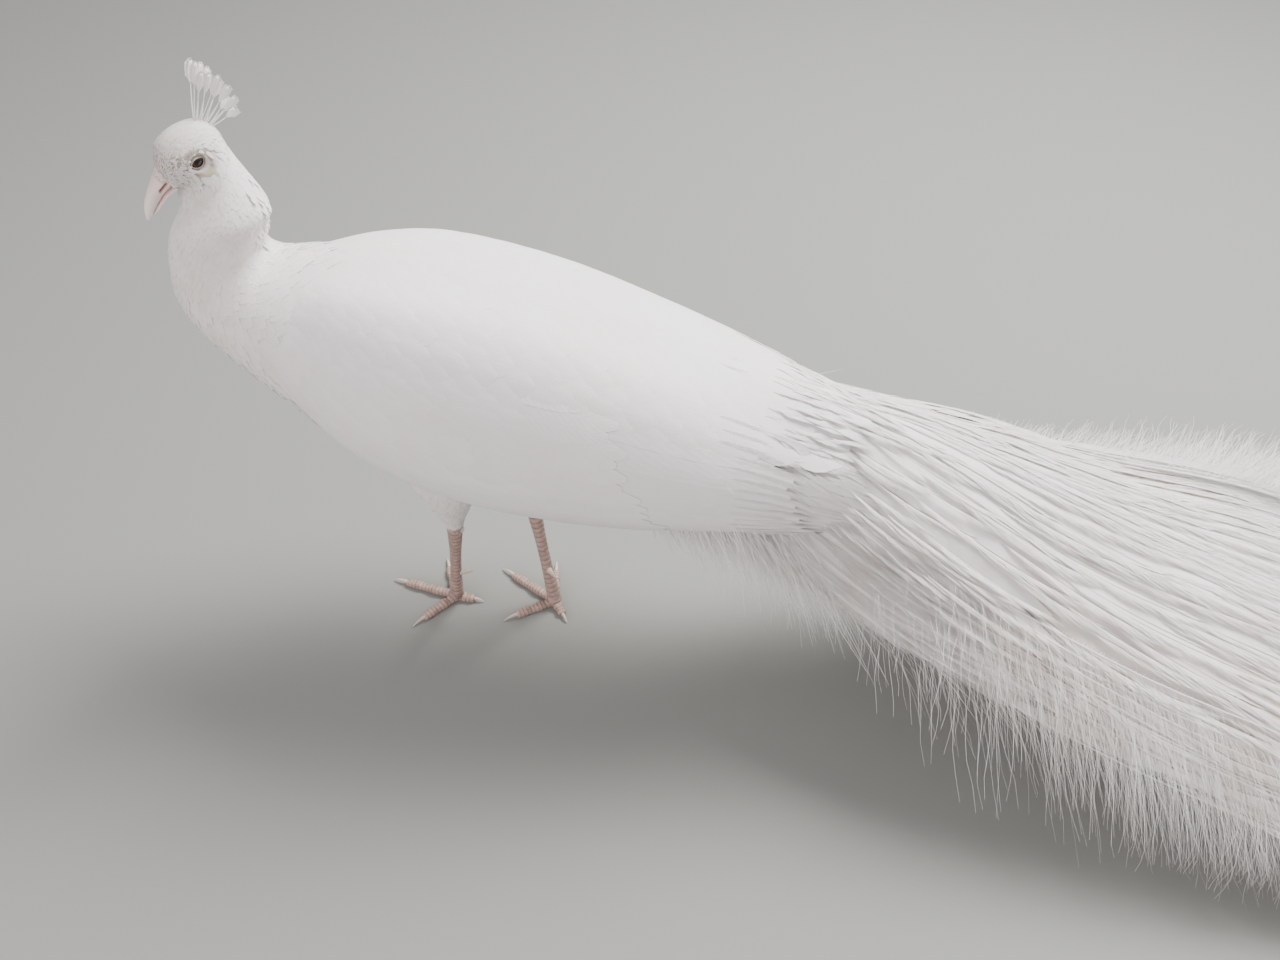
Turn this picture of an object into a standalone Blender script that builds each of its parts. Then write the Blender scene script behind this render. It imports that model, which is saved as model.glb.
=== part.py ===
"""A white peafowl cock, life size, as a still museum model.

Units are metres, +Z is up and the bird faces -X. Places are measured from the
ground between its feet, and one empty carries them all to the frame, whose
origin is the middle of the bird's reach, on the ground. Small body feathers,
down and barbs are left out: the solids give the bird's outline, its limbs, its
head and the large feathers of crest, wings, train and tail.
"""

import math
import random

import bmesh
import bpy
import numpy as np

# The whole bird
REACH_FORWARD = 0.300  # from between the feet to the front of the neck
REACH_BACK = 1.500  # from between the feet to the end of the train
FEET_X = (REACH_FORWARD - REACH_BACK) / 2
GAP = 0.0003  # between pieces that touch
SEED = 13

# Outline of the body and lower neck in the middle plane. Each row is one
# section: its upper point (x, z), its lower point (x, z) and half its width.
BODY_ROWS = (
    (0.335, 0.352, 0.322, 0.300, 0.030),  # root of the tail
    (0.262, 0.402, 0.238, 0.276, 0.058),  # rump
    (0.172, 0.446, 0.150, 0.252, 0.080),  # hips
    (0.070, 0.484, 0.058, 0.240, 0.094),  # loins
    (-0.030, 0.503, -0.030, 0.242, 0.100),  # middle of the body
    (-0.110, 0.506, -0.120, 0.275, 0.095),  # shoulders
    (-0.165, 0.499, -0.190, 0.335, 0.080),  # breast
    (-0.200, 0.492, -0.266, 0.396, 0.060),  # crop
    (-0.214, 0.503, -0.300, 0.442, 0.047),  # root of the neck
    (-0.205, 0.527, -0.299, 0.488, 0.043),  # low neck
    (-0.193, 0.556, -0.286, 0.526, 0.039),  # middle of the neck
)
NECK_ROOT = 8.0  # where the torso ends, counted in rows
HEAD_ROOT = 11.0  # where the neck ends

# The head, carried turned to the bird's left and bowed. Its own rows are
# (u, v): u runs forward and v up, from the point between the eyes.
HEAD_PLACE = (-0.2500, 0.0015, 0.6010)
HEAD_YAW = math.radians(48)
HEAD_PITCH = math.radians(20)
HEAD_ROWS = (
    (-0.032, -0.008, 0.034, -0.036, 0.0335),  # nape and throat
    (-0.031, 0.008, 0.030, -0.029, 0.0265),  # back of the skull
    (-0.022, 0.021, 0.027, -0.025, 0.0235),
    (-0.004, 0.027, 0.026, -0.0225, 0.0215),  # crown
    (0.014, 0.0250, 0.026, -0.0205, 0.0195),
    (0.0265, 0.0180, 0.0275, -0.0195, 0.0160),  # forehead
    (0.0340, 0.0075, 0.0315, -0.0180, 0.0108),  # base of the bill
)

EYE_RADIUS = 0.0085
EYE_OUT = 0.0128  # from the middle plane to the middle of the eyeball
EYE_OPENING = 0.0056
EYE_TALL = 0.92  # height of the eye's opening as a share of its length
EYE_HOLE_REACH = 0.020
LID_RADIUS = 0.0066
LID_THICK = 0.0013


def smooth_rows(rows, places):
    """Values of a smooth curve through the rows, at places counted in rows (cubic, Catmull-Rom)."""
    rows = np.asarray(rows, float)
    places = np.clip(np.asarray(places, float), 0, len(rows) - 1)
    start = np.minimum(places.astype(int), len(rows) - 2)
    t = (places - start)[..., None]
    padded = np.vstack([2 * rows[0] - rows[1], rows, 2 * rows[-1] - rows[-2]])
    a, b, c, d = (padded[start + k] for k in range(4))
    return b + 0.5 * t * (c - a + t * (2 * a - 5 * b + 4 * c - d + t * (3 * (b - c) + d - a)))


def head_axes():
    cos_y, sin_y = math.cos(HEAD_YAW), math.sin(HEAD_YAW)
    cos_p, sin_p = math.cos(HEAD_PITCH), math.sin(HEAD_PITCH)
    forward = np.array([-cos_y * cos_p, -sin_y * cos_p, -sin_p])
    left = np.array([sin_y, -cos_y, 0.0])
    up = np.array([-cos_y * sin_p, -sin_y * sin_p, cos_p])
    return forward, left, up


def head_point(u, v, out=0.0):
    """A place on the head from its own forward, up and leftward distances."""
    forward, left, up = head_axes()
    u, v, out = (np.asarray(value, float)[..., None] for value in (u, v, out))
    return np.array(HEAD_PLACE) + u * forward + v * up + out * left


def bird_rows():
    """Rows of (upper point, lower point, leftward half width) in space, from the tail to the bill."""
    rows = []
    for x_upper, z_upper, x_lower, z_lower, half_width in BODY_ROWS:
        rows.append((x_upper, 0, z_upper, x_lower, 0, z_lower, 0, -half_width, 0))
    _, left, _ = head_axes()
    for u_upper, v_upper, u_lower, v_lower, half_width in HEAD_ROWS:
        upper = head_point(u_upper, v_upper)
        lower = head_point(u_lower, v_lower)
        rows.append((*upper, *lower, *(left * half_width)))
    return np.array(rows)


def body_surface(place, angle, grow=0.0):
    """Points of the bird's smooth surface: place counts rows, angle runs round from the upper point."""
    row = smooth_rows(bird_rows(), place)
    upper, lower, side = row[..., 0:3], row[..., 3:6], row[..., 6:9]
    middle, reach = (upper + lower) / 2, (upper - lower) / 2
    tall = np.linalg.norm(reach, axis=-1, keepdims=True)
    wide = np.linalg.norm(side, axis=-1, keepdims=True)
    cos_a, sin_a = np.cos(angle)[..., None], np.sin(angle)[..., None]
    return middle + reach * cos_a * (1 + grow / tall) + side * sin_a * (1 + grow / wide)


def new_object(name, points, faces):
    mesh = bpy.data.meshes.new(name)
    mesh.from_pydata([tuple(float(c) for c in p) for p in points], [], faces)
    mesh.update()
    obj = bpy.data.objects.new(name, mesh)
    bpy.context.scene.collection.objects.link(obj)
    bm = bmesh.new()
    bm.from_mesh(mesh)
    bmesh.ops.recalc_face_normals(bm, faces=bm.faces)
    if bm.calc_volume(signed=True) < 0:
        bmesh.ops.reverse_faces(bm, faces=bm.faces)
    bm.to_mesh(mesh)
    bm.free()
    return obj


def loft(name, rings, mirrored=()):
    """A closed body through a stack of closed rings with the same number of points, capped at both ends.

    Every side is split into two triangles along the same diagonal, and a side
    whose number is listed in mirrored along the other one.
    """
    rings = np.asarray(rings, float)
    n, m = rings.shape[:2]
    faces = []
    for i in range(n - 1):
        for j in range(m):
            k = (j + 1) % m
            a, b, c, d = i * m + j, i * m + k, (i + 1) * m + k, (i + 1) * m + j
            if j in mirrored:
                faces += [(a, b, d), (b, c, d)]
            else:
                faces += [(a, b, c), (a, c, d)]
    faces.append(tuple(range(m - 1, -1, -1)))
    faces.append(tuple((n - 1) * m + j for j in range(m)))
    return new_object(name, rings.reshape(-1, 3), faces)


def ring_body(name, rings):
    """A closed ring-shaped body from loops that run round its own cross-section."""
    rings = np.asarray(rings, float)
    n, m = rings.shape[:2]
    faces = []
    for i in range(n):
        for j in range(m):
            a, b = (i + 1) % n, (j + 1) % m
            faces.append((i * m + j, i * m + b, a * m + b, a * m + j))
    return new_object(name, rings.reshape(-1, 3), faces)


def ball(name, middle, radius, around, rings):
    """A sphere as a loft, with small flats at its poles."""
    lat = np.linspace(-0.49, 0.49, rings) * math.pi
    lon = np.linspace(0, 2 * math.pi, around + 1)[:-1]
    lat, lon = lat[:, None], lon[None, :]
    unit = np.stack([np.cos(lat) * np.cos(lon), np.cos(lat) * np.sin(lon), np.sin(lat) + 0 * lon], -1)
    return loft(name, np.array(middle) + np.asarray(radius) * unit)


def tube(name, path, radii, around=8, flat=1.0, up=(0, 0, 1)):
    """A tapering round bar along a path. flat squeezes it along the up direction."""
    path = np.asarray(path, float)
    tangent = np.gradient(path, axis=0)
    tangent /= np.linalg.norm(tangent, axis=1, keepdims=True)
    side = np.cross(tangent, up)
    side /= np.linalg.norm(side, axis=1, keepdims=True)
    rise = np.cross(side, tangent)
    turn = np.linspace(0, 2 * math.pi, around + 1)[:-1]
    radii = np.broadcast_to(np.asarray(radii, float), len(path))[:, None, None]
    ring = side[:, None] * np.cos(turn)[None, :, None] + flat * rise[:, None] * np.sin(turn)[None, :, None]
    return loft(name, path[:, None] + radii * ring)


# Sides of a feather's section that lie on its under face: they are split like
# the ones above them, so that the two faces of a twisted vane never cross
UNDER_SIDES = (3, 4)


def feather_rings(left, middle, right, normals, edge, ridge):
    """Sections of six points, thin at both edges with a ridge on the outer face."""
    half = normals * edge / 2
    crest = middle + normals * ridge
    return np.stack([left + half, crest, right + half, right - half, middle - half, left - half], axis=1)


def stations(root, tip, grid, taper):
    """Places along a feather: its root, the grid that all its neighbours share, and its rounded end."""
    shared = [place for place in grid if root + 0.2 * taper < place < tip - 1.3 * taper]
    return np.array([root, *shared, tip - taper, tip - 0.35 * taper, tip])


def feather_widths(along, half, narrow):
    """Half widths: narrow at the root, full from the middle on, rounded off at the end."""
    share = (along - along[0]) / (along[-1] - along[0])
    widths = half * (narrow + (1 - narrow) * np.clip(share / 0.45, 0, 1) ** 0.8)
    widths[-2] = half * 0.78
    widths[-1] = half * 0.22
    return widths


def vane(name, sheet, along, across, height, side, half_widths, roll, edge=0.0006, ridge=0.0006):
    """One flat feather that follows a sheet, a function of (along, across, height, side).

    roll raises one edge and lowers the other by its share of the half width,
    so that neighbours overlap like tiles.
    """
    step = 0.004
    stretch = sheet(along, across + step, height, side) - sheet(along, across - step, height, side)
    half = np.asarray(half_widths, float)
    turn = half * 2 * step / np.linalg.norm(stretch, axis=-1)
    left = sheet(along, across - turn, height - roll * half, side)
    right = sheet(along, across + turn, height + roll * half, side)
    middle = sheet(along, across, height, side)
    normals = sheet_normals(sheet, along, across, height, side)
    return loft(name, feather_rings(left, middle, right, normals, edge, ridge), UNDER_SIDES)


def largest_only(obj):
    """Keeps the closed surface with the most volume, and drops crumbs left by a Boolean."""
    bm = bmesh.new()
    bm.from_mesh(obj.data)
    bm.faces.ensure_lookup_table()
    seen, groups = set(), []
    for face in bm.faces:
        if face.index in seen:
            continue
        group, stack = [], [face]
        seen.add(face.index)
        while stack:
            here = stack.pop()
            group.append(here)
            for edge in here.edges:
                for other in edge.link_faces:
                    if other.index not in seen:
                        seen.add(other.index)
                        stack.append(other)
        groups.append(group)
    groups.sort(key=lambda group: -sum(face.calc_area() for face in group))
    drop = [face for group in groups[1:] for face in group]
    bmesh.ops.delete(bm, geom=drop, context="FACES")
    bm.to_mesh(obj.data)
    bm.free()


def apply_boolean(obj, operation, others):
    """Joins or cuts obj with a list of closed objects at once, and removes them."""
    group = bpy.data.collections.new(obj.name + "_others")
    for other in others:
        group.objects.link(other)
    modifier = obj.modifiers.new("boolean", "BOOLEAN")
    modifier.operation = operation
    modifier.operand_type = "COLLECTION"
    modifier.collection = group
    modifier.solver = "MANIFOLD"
    graph = bpy.context.evaluated_depsgraph_get()
    made = bpy.data.meshes.new_from_object(obj.evaluated_get(graph))
    obj.modifiers.clear()
    obj.data = made
    for other in others:
        bpy.data.objects.remove(other)
    bpy.data.collections.remove(group)
    largest_only(obj)


def torso_grid():
    turns = np.linspace(0, 2 * math.pi, 27)[:-1]
    places = np.linspace(0, NECK_ROOT, 19)
    return places[:, None], turns[None, :]


def torso_cutter():
    """The torso grown by the gap, which wings, legs, train and tail are cut back to."""
    rings = body_surface(*torso_grid(), grow=GAP * 1.2)
    rings[0] += np.array([GAP * 1.5, 0, 0])
    return loft("torso_cutter", rings)


def build_body():
    loft("torso", body_surface(*torso_grid()))
    turns = np.linspace(0, 2 * math.pi, 19)[:-1]
    places = np.linspace(NECK_ROOT + 0.02, HEAD_ROOT - 0.02, 8)
    loft("neck", body_surface(places[:, None], turns[None, :]))


# The line of the mouth on the head: its path (u, v), how far out it runs and its cutter
GAPE = ((0.0120, -0.0150), (0.0220, -0.0148), (0.0310, -0.0132))
GAPE_OUT = 0.023
GAPE_RADII = (0.0040, 0.0047, 0.0060)
GAPE_FLAT = 0.16
BILL_UPPER = (  # (u, v) of the ridge, (u, v) of the cutting edge, half width
    (0.0310, 0.0075, 0.0300, -0.0128, 0.0104),
    (0.0400, 0.0010, 0.0385, -0.0142, 0.0086),
    (0.0490, -0.0048, 0.0470, -0.0178, 0.0066),
    (0.0570, -0.0112, 0.0545, -0.0218, 0.0048),
    (0.0630, -0.0182, 0.0610, -0.0258, 0.0032),
    (0.0668, -0.0262, 0.0655, -0.0280, 0.0010),
)
BILL_LOWER = (
    (0.0300, -0.0134, 0.0300, -0.0190, 0.0094),
    (0.0385, -0.0148, 0.0370, -0.0205, 0.0076),
    (0.0465, -0.0183, 0.0440, -0.0232, 0.0058),
    (0.0535, -0.0222, 0.0510, -0.0260, 0.0040),
    (0.0585, -0.0256, 0.0570, -0.0278, 0.0018),
)
BILL_SQUARENESS = 0.85  # under 1 makes its sections fuller than an ellipse
NOSTRIL = ((0.0330, -0.0060), (0.0425, -0.0092))
NOSTRIL_OUT = 0.0092
NOSTRIL_RADII = (0.0018, 0.0014)


def bill_half(name, rows, count):
    row = smooth_rows(rows, np.linspace(0, len(rows) - 1, count))
    turns = np.linspace(0, 2 * math.pi, 15)[:-1]
    top = head_point(row[:, 0], row[:, 1])
    low = head_point(row[:, 2], row[:, 3])
    _, left, _ = head_axes()
    across = np.sin(turns)
    across = np.sign(across) * np.abs(across) ** BILL_SQUARENESS
    rings = (
        ((top + low) / 2)[:, None]
        + ((top - low) / 2)[:, None] * np.cos(turns)[None, :, None]
        + left * (row[:, 4][:, None] * across[None, :])[..., None]
    )
    return loft(name, rings)


def head_grid():
    turns = np.linspace(0, 2 * math.pi, 25)[:-1]
    places = np.linspace(HEAD_ROOT + 0.02, len(BODY_ROWS) + len(HEAD_ROWS) - 1, 15)
    return places[:, None], turns[None, :]


def head_cutter():
    """The head grown by the gap, which bill and crest are cut back to."""
    rings = body_surface(*head_grid(), grow=GAP * 1.2)
    rings[-1] += head_axes()[0] * GAP * 1.2
    return loft("head_cutter", rings)


def build_head():
    head = loft("head", body_surface(*head_grid()))
    forward, left, up = head_axes()
    turn = np.linspace(0, 2 * math.pi, 15)[:-1]
    oval = np.cos(turn)[:, None] * forward + EYE_TALL * np.sin(turn)[:, None] * up
    plane = math.sqrt(EYE_RADIUS**2 - EYE_OPENING**2)
    lids, sockets = [], []
    for side, word in ((1, "left"), (-1, "right")):
        middle = head_point(0, 0, side * EYE_OUT)
        out = left * side
        rings = []
        for roll in np.linspace(0, 2 * math.pi, 7)[:-1]:
            lift = plane + LID_THICK * math.sin(roll)
            rings.append(middle + out * lift + (LID_RADIUS + LID_THICK * math.cos(roll)) * oval)
        lids.append(ring_body("lid_" + word, rings))
        sockets.append(ball("socket", middle, EYE_RADIUS + GAP, 14, 8))
        hole = [middle + out * reach + EYE_OPENING * oval for reach in (0, EYE_HOLE_REACH)]
        sockets.append(loft("opening", hole))
        ball("eye_" + word, middle, EYE_RADIUS, 14, 8)
        gape = [head_point(u, v, side * GAPE_OUT) for u, v in GAPE]
        sockets.append(tube("gape", gape, GAPE_RADII, 6, GAPE_FLAT, up))
    apply_boolean(head, "UNION", lids)
    apply_boolean(head, "DIFFERENCE", sockets)
    upper = bill_half("bill_upper", BILL_UPPER, 9)
    lower = bill_half("bill_lower", BILL_LOWER, 7)
    slits = []
    for side in (1, -1):
        ends = [head_point(u, v, side * NOSTRIL_OUT) for u, v in NOSTRIL]
        slits.append(tube("slit", ends, NOSTRIL_RADII, 6))
    apply_boolean(upper, "DIFFERENCE", slits)
    apply_boolean(upper, "DIFFERENCE", [head_cutter()])
    apply_boolean(lower, "DIFFERENCE", [head_cutter()])


CREST_ROOTS = ((-0.0205, 0.0190), (-0.0280, 0.0070))  # foremost and rearmost feather
CREST_COUNT = 15
CREST_LENGTH = 0.050
CREST_STATIONS = np.array((0.03, 0.74, 0.86, 1.00, 1.10))
CREST_HALF_WIDTHS = np.array((0.0008, 0.0005, 0.0038, 0.0046, 0.0012))
CREST_HALF_THICKNESS = np.array((0.0008, 0.0005, 0.0005, 0.0005, 0.0003))
CREST_DOME_RADIUS = 0.0078
CREST_FIRST_LEAN_DEG = 27  # of the foremost feather, back from upright
CREST_FAN_DEG = 62
CREST_ASIDE_DEG = (-13, 1, 14)
CREST_BEND = 0.12


def build_crest():
    forward, left, up = head_axes()
    first, last = (head_point(*place) for place in CREST_ROOTS)
    dome = ball("crest", (first + last) / 2, CREST_DOME_RADIUS, 12, 7)
    rng = random.Random(SEED)
    pieces = []
    for i in range(CREST_COUNT):
        share = i / (CREST_COUNT - 1)
        root = first + (last - first) * share
        lean = math.radians(CREST_FIRST_LEAN_DEG + CREST_FAN_DEG * share)
        aside = math.radians(CREST_ASIDE_DEG[i % 3] + rng.uniform(-2, 2))
        length = CREST_LENGTH * (1.0 - 0.12 * share) * rng.uniform(0.95, 1.03)
        stem = up * math.cos(lean) - forward * math.sin(lean)
        grow = stem * math.cos(aside) + left * math.sin(aside)
        bend = (-forward * math.cos(lean) - up * math.sin(lean)) * CREST_BEND
        steps = CREST_STATIONS[:, None]
        spine = root + grow * length * steps + bend * length * steps**2
        facing = left * math.cos(aside) - stem * math.sin(aside)
        spread = np.cross(facing, grow)
        spread /= np.linalg.norm(spread)
        wide = CREST_HALF_WIDTHS[:, None] * spread
        thick = CREST_HALF_THICKNESS[:, None] * facing
        rings = np.stack([spine - wide, spine + thick, spine + wide, spine - thick], axis=1)
        pieces.append(loft("crest_feather", rings))
    apply_boolean(dome, "UNION", pieces)
    apply_boolean(dome, "DIFFERENCE", [head_cutter()])


# The folded wings lie on an envelope round the body, given like BODY_ROWS
WING_ROWS = (
    (-0.176, 0.503, -0.200, 0.352, 0.080),
    (-0.110, 0.512, -0.118, 0.276, 0.099),
    (-0.020, 0.510, -0.020, 0.238, 0.110),
    (0.080, 0.490, 0.070, 0.226, 0.113),
    (0.180, 0.454, 0.165, 0.230, 0.108),
    (0.260, 0.420, 0.245, 0.242, 0.100),
    (0.335, 0.385, 0.315, 0.250, 0.090),
)
WING_UPPER_DEG = 33  # upper edge of the wing, round from the back's midline
WING_LOWER_DEG = 128
# name, count, place of the roots, of the lowest tip and of the highest tip along the
# wing, shares of the wing's width that it covers, half width of a feather, height
# and how far it tips its lower edge out
WING_TIERS = (
    ("primary", 5, 0.46, 1.00, 0.92, 0.96, 0.78, 0.0130, 0.0000, 0.17),
    ("secondary", 7, 0.42, 0.90, 0.87, 0.83, 0.09, 0.0225, 0.0045, 0.07),
    ("greater_covert", 6, 0.26, 0.60, 0.53, 0.85, 0.13, 0.0235, 0.0090, 0.07),
    ("median_covert", 5, 0.12, 0.38, 0.34, 0.82, 0.17, 0.0240, 0.0135, 0.07),
)
WING_GRID = (0.26, 0.44, 0.62, 0.80)
WING_TAPER = 0.07
WING_SINK_REACH = 0.16
ROOT_SINK = 0.0035  # how deep a feather's root lies in the solid root of its group
WING_CORE_END = 0.62  # how far along the wing its solid root reaches
WING_CORE_RISE = 0.0140  # of the solid root over the envelope, at the shoulder
WING_CORE_DEPTH = 0.030  # of the solid root under the envelope, at its thickest


def wing_sheet(along, down, height, side):
    """A place on the folded wing: along from shoulder to tip, down from its upper to its lower edge."""
    row = smooth_rows(WING_ROWS, np.asarray(along) * (len(WING_ROWS) - 1))
    upper, lower, half_width = row[..., 0:2], row[..., 2:4], row[..., 4]
    middle, reach = (upper + lower) / 2, (upper - lower) / 2
    tall = np.linalg.norm(reach, axis=-1)
    angle = np.radians(WING_UPPER_DEG + (WING_LOWER_DEG - WING_UPPER_DEG) * np.asarray(down))
    share = np.cos(angle) * (1 + height / tall)
    x = middle[..., 0] + reach[..., 0] * share
    z = middle[..., 1] + reach[..., 1] * share
    y = side * (half_width + height) * np.sin(angle)
    return np.stack(np.broadcast_arrays(x, y, z), -1)


def sheet_normals(sheet, along, down, height, side):
    step = 0.01
    a = sheet(along + step, down, height, side) - sheet(along - step, down, height, side)
    b = sheet(along, down + step, height, side) - sheet(along, down - step, height, side)
    normal = np.cross(a, b)
    normal /= np.linalg.norm(normal, axis=-1, keepdims=True)
    out = sheet(along, down, height + 0.001, side) - sheet(along, down, height, side)
    flip = np.sign((normal * out).sum(-1, keepdims=True))
    return normal * flip


def wing_core(side):
    """Rings of the wing's solid root, which thins out to its edges, its front and its rear end."""
    along = np.linspace(0, WING_CORE_END, 10)[:, None]
    down = np.linspace(0, 1, 8)[None, :]
    edge_fade = np.sin(np.pi * (0.04 + 0.92 * down)) ** 0.5
    front_fade = np.clip(along / 0.12, 0, 1) ** 0.5
    down = 0.5 + (down - 0.5) * (0.55 + 0.45 * front_fade)
    rise = WING_CORE_RISE * np.clip(1 - along / 0.55, 0, 1) ** 0.8 - 0.0015
    outer = wing_sheet(along, down, rise * edge_fade * front_fade - 0.004 * (1 - front_fade), side)
    depth = 0.003 + WING_CORE_DEPTH * np.sin(np.pi * down) ** 0.7 * np.clip(1.15 - along, 0, 1)
    inner = wing_sheet(along, down, -depth - 0.006 * (1 - front_fade), side)
    return np.concatenate([outer, inner[:, ::-1]], axis=1)


def build_wing(side, word):
    rng = random.Random(SEED + (side > 0))
    core = loft("wing_" + word, wing_core(side))
    pieces = []
    for name, count, root, low_tip, high_tip, low, high, half, height, roll in WING_TIERS:
        for i in range(count):
            share = i / (count - 1)
            tip = low_tip + (high_tip - low_tip) * share + rng.uniform(-0.008, 0.008)
            at = stations(root, tip, WING_GRID, WING_TAPER)
            spot = np.full(len(at), low + (high - low) * share)
            sunk = ROOT_SINK * np.clip(1 - (at - root) / WING_SINK_REACH, 0, 1)
            lift = height - sunk + rng.uniform(-0.0001, 0.0001)
            widths = feather_widths(at, half, 0.7)
            pieces.append(vane(name, wing_sheet, at, spot, lift, side, widths, roll))
    apply_boolean(core, "UNION", pieces)
    apply_boolean(core, "DIFFERENCE", [torso_cutter()])


# The train's upper surface: x, height of its middle, half width, how far its
# edges hang, and its lean to the bird's left
TRAIN_ROWS = (
    (0.170, 0.4290, 0.050, 0.058, 0.00),
    (0.230, 0.416, 0.058, 0.092, 0.04),
    (0.300, 0.392, 0.070, 0.126, 0.08),
    (0.400, 0.358, 0.113, 0.128, 0.13),
    (0.500, 0.313, 0.146, 0.104, 0.14),
    (0.660, 0.242, 0.182, 0.080, 0.14),
    (0.860, 0.173, 0.218, 0.052, 0.12),
    (1.060, 0.100, 0.234, 0.032, 0.08),
    (1.280, 0.034, 0.247, 0.010, 0.02),
    (1.500, -0.0012, 0.248, 0.000, 0.00),
)
# count, x of the roots, x of the middle tip, how much shorter the outer ones are, half width, height
TRAIN_TIERS = (
    (6, 0.270, 0.460, 0.050, 0.024, 0.0225),
    (8, 0.320, 0.660, 0.080, 0.026, 0.0180),
    (9, 0.400, 0.870, 0.110, 0.028, 0.0135),
    (9, 0.480, 1.080, 0.130, 0.030, 0.0090),
    (11, 0.570, 1.290, 0.160, 0.029, 0.0045),
    (13, 0.680, 1.500, 0.200, 0.026, 0.0000),
)
TRAIN_ROLL = 0.055
TRAIN_GRID = (0.320, 0.400, 0.500, 0.630, 0.790, 0.980, 1.180, 1.360)
TRAIN_TAPER = 0.055
TRAIN_SINK_REACH = 0.14
TRAIN_CORE_RISE = 0.0215
TRAIN_CORE_X = (0.175, 0.215, 0.260, *TRAIN_GRID[:4], 0.780)
TRAIN_CORE_ACROSS = 0.92
TRAIN_GATHER = 0.94  # the feathers lie this much closer together at their roots


def train_sheet(x, across, height, side=1):
    xs = np.array([row[0] for row in TRAIN_ROWS])
    at = np.interp(x, xs, np.arange(len(xs)))
    row = smooth_rows(TRAIN_ROWS, at)
    y = across * row[..., 2]
    z = row[..., 1] - row[..., 3] * across**2 + row[..., 4] * y + height
    return np.stack(np.broadcast_arrays(row[..., 0], y, z), -1)


def core_depth(x, across):
    """Thickness of the train's solid root below its upper surface."""
    depth = np.interp(x, (0.20, 0.33, 0.45, 0.60, 0.80), (0.060, 0.044, 0.026, 0.014, 0.010))
    return depth * (1 - 0.75 * across**2)


def build_train():
    rng = random.Random(SEED)
    x = np.array(TRAIN_CORE_X)[:, None]
    across = np.linspace(-TRAIN_CORE_ACROSS, TRAIN_CORE_ACROSS, 10)[None, :]
    top = TRAIN_CORE_RISE * np.clip(1 - (x - 0.27) / 0.42, 0, 1) - 0.001 + 0 * across
    outer = train_sheet(x, across, top)
    inner = train_sheet(x, across, -core_depth(x, across))
    core = loft("train", np.concatenate([outer, inner[:, ::-1]], axis=1))
    pieces = []
    for count, root, tip_x, shorter, half, height in TRAIN_TIERS:
        for i in range(count):
            spot = -1 + 2 * (i + 0.5) / count + rng.uniform(-0.006, 0.006)
            tip = tip_x - shorter * spot**2 + rng.uniform(-0.008, 0.008)
            at = stations(root, tip, TRAIN_GRID, TRAIN_TAPER)
            sunk = ROOT_SINK * np.clip(1 - (at - root) / TRAIN_SINK_REACH, 0, 1)
            lift = height - sunk + rng.uniform(-0.0001, 0.0001)
            widths = feather_widths(at, half, 0.4)
            gather = np.interp(at, (root, root + 2 * TRAIN_SINK_REACH), (TRAIN_GATHER, 1.0))
            feather = vane("train_feather", train_sheet, at, spot * gather, lift, 1, widths, TRAIN_ROLL)
            pieces.append(feather)
    apply_boolean(core, "UNION", pieces)
    floor = loft("floor", [[(0, -1, z), (2, -1, z), (2, 1, z), (0, 1, z)] for z in (-0.05, 0.0)])
    apply_boolean(core, "DIFFERENCE", [torso_cutter(), floor])


TAIL_COUNT = 8
TAIL_ROOT_X = 0.360
TAIL_TIP_X = 0.760
TAIL_HALF_WIDTH = 0.0265
TAIL_TOP = -0.0055  # of its solid root, below the train's
TAIL_DROP = 0.0095  # of its feathers, below the train's solid root
TAIL_ROLL = 0.09
UNDERTAIL_COUNT = 5
UNDERTAIL_ROOT_X = 0.345
UNDERTAIL_TIP_X = 0.560
UNDERTAIL_DROP = 0.022
UNDERTAIL_HALF_WIDTHS = 0.024 * np.array((0.6, 1.0, 0.8, 0.25))


def under_train(x, across, height, side=1):
    """A place below the train's solid root, on the same terms as train_sheet."""
    return train_sheet(x, across, height - core_depth(x, across), side)


def build_tail():
    """The true tail, under the train, with the shorter feathers below its root."""
    x = np.linspace(0.325, 0.470, 6)[:, None]
    across = np.linspace(-0.42, 0.42, 7)[None, :]
    thick = np.interp(x, (0.325, 0.47), (0.042, 0.010)) * (1 - 2.2 * across**2)
    outer = under_train(x, across, TAIL_TOP + 0 * x)
    inner = under_train(x, across, TAIL_TOP - thick)
    core = loft("tail", np.concatenate([outer, inner[:, ::-1]], axis=1))
    pieces = []
    for spread in np.linspace(-1, 1, TAIL_COUNT):
        at = stations(TAIL_ROOT_X, TAIL_TIP_X - 0.03 * spread**2, TRAIN_GRID, TRAIN_TAPER)
        spots = spread * np.interp(at, (TAIL_ROOT_X, TAIL_TIP_X), (0.28, 0.62))
        widths = feather_widths(at, TAIL_HALF_WIDTH, 0.5)
        pieces.append(vane("tail_feather", under_train, at, spots, -TAIL_DROP, 1, widths, TAIL_ROLL))
    steps = np.array((0.0, 0.4, 0.8, 1.0))
    drop = UNDERTAIL_DROP + 0.010 * np.sin(np.pi * steps)
    for spread in np.linspace(-1, 1, UNDERTAIL_COUNT):
        tip = UNDERTAIL_TIP_X - 0.05 * spread**2
        at = UNDERTAIL_ROOT_X + (tip - UNDERTAIL_ROOT_X) * steps
        spots = spread * (0.25 + 0.25 * steps)
        widths = UNDERTAIL_HALF_WIDTHS
        pieces.append(vane("undertail_feather", under_train, at, spots, -drop, 1, widths, TAIL_ROLL))
    apply_boolean(core, "UNION", pieces)
    apply_boolean(core, "DIFFERENCE", [torso_cutter()])


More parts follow.
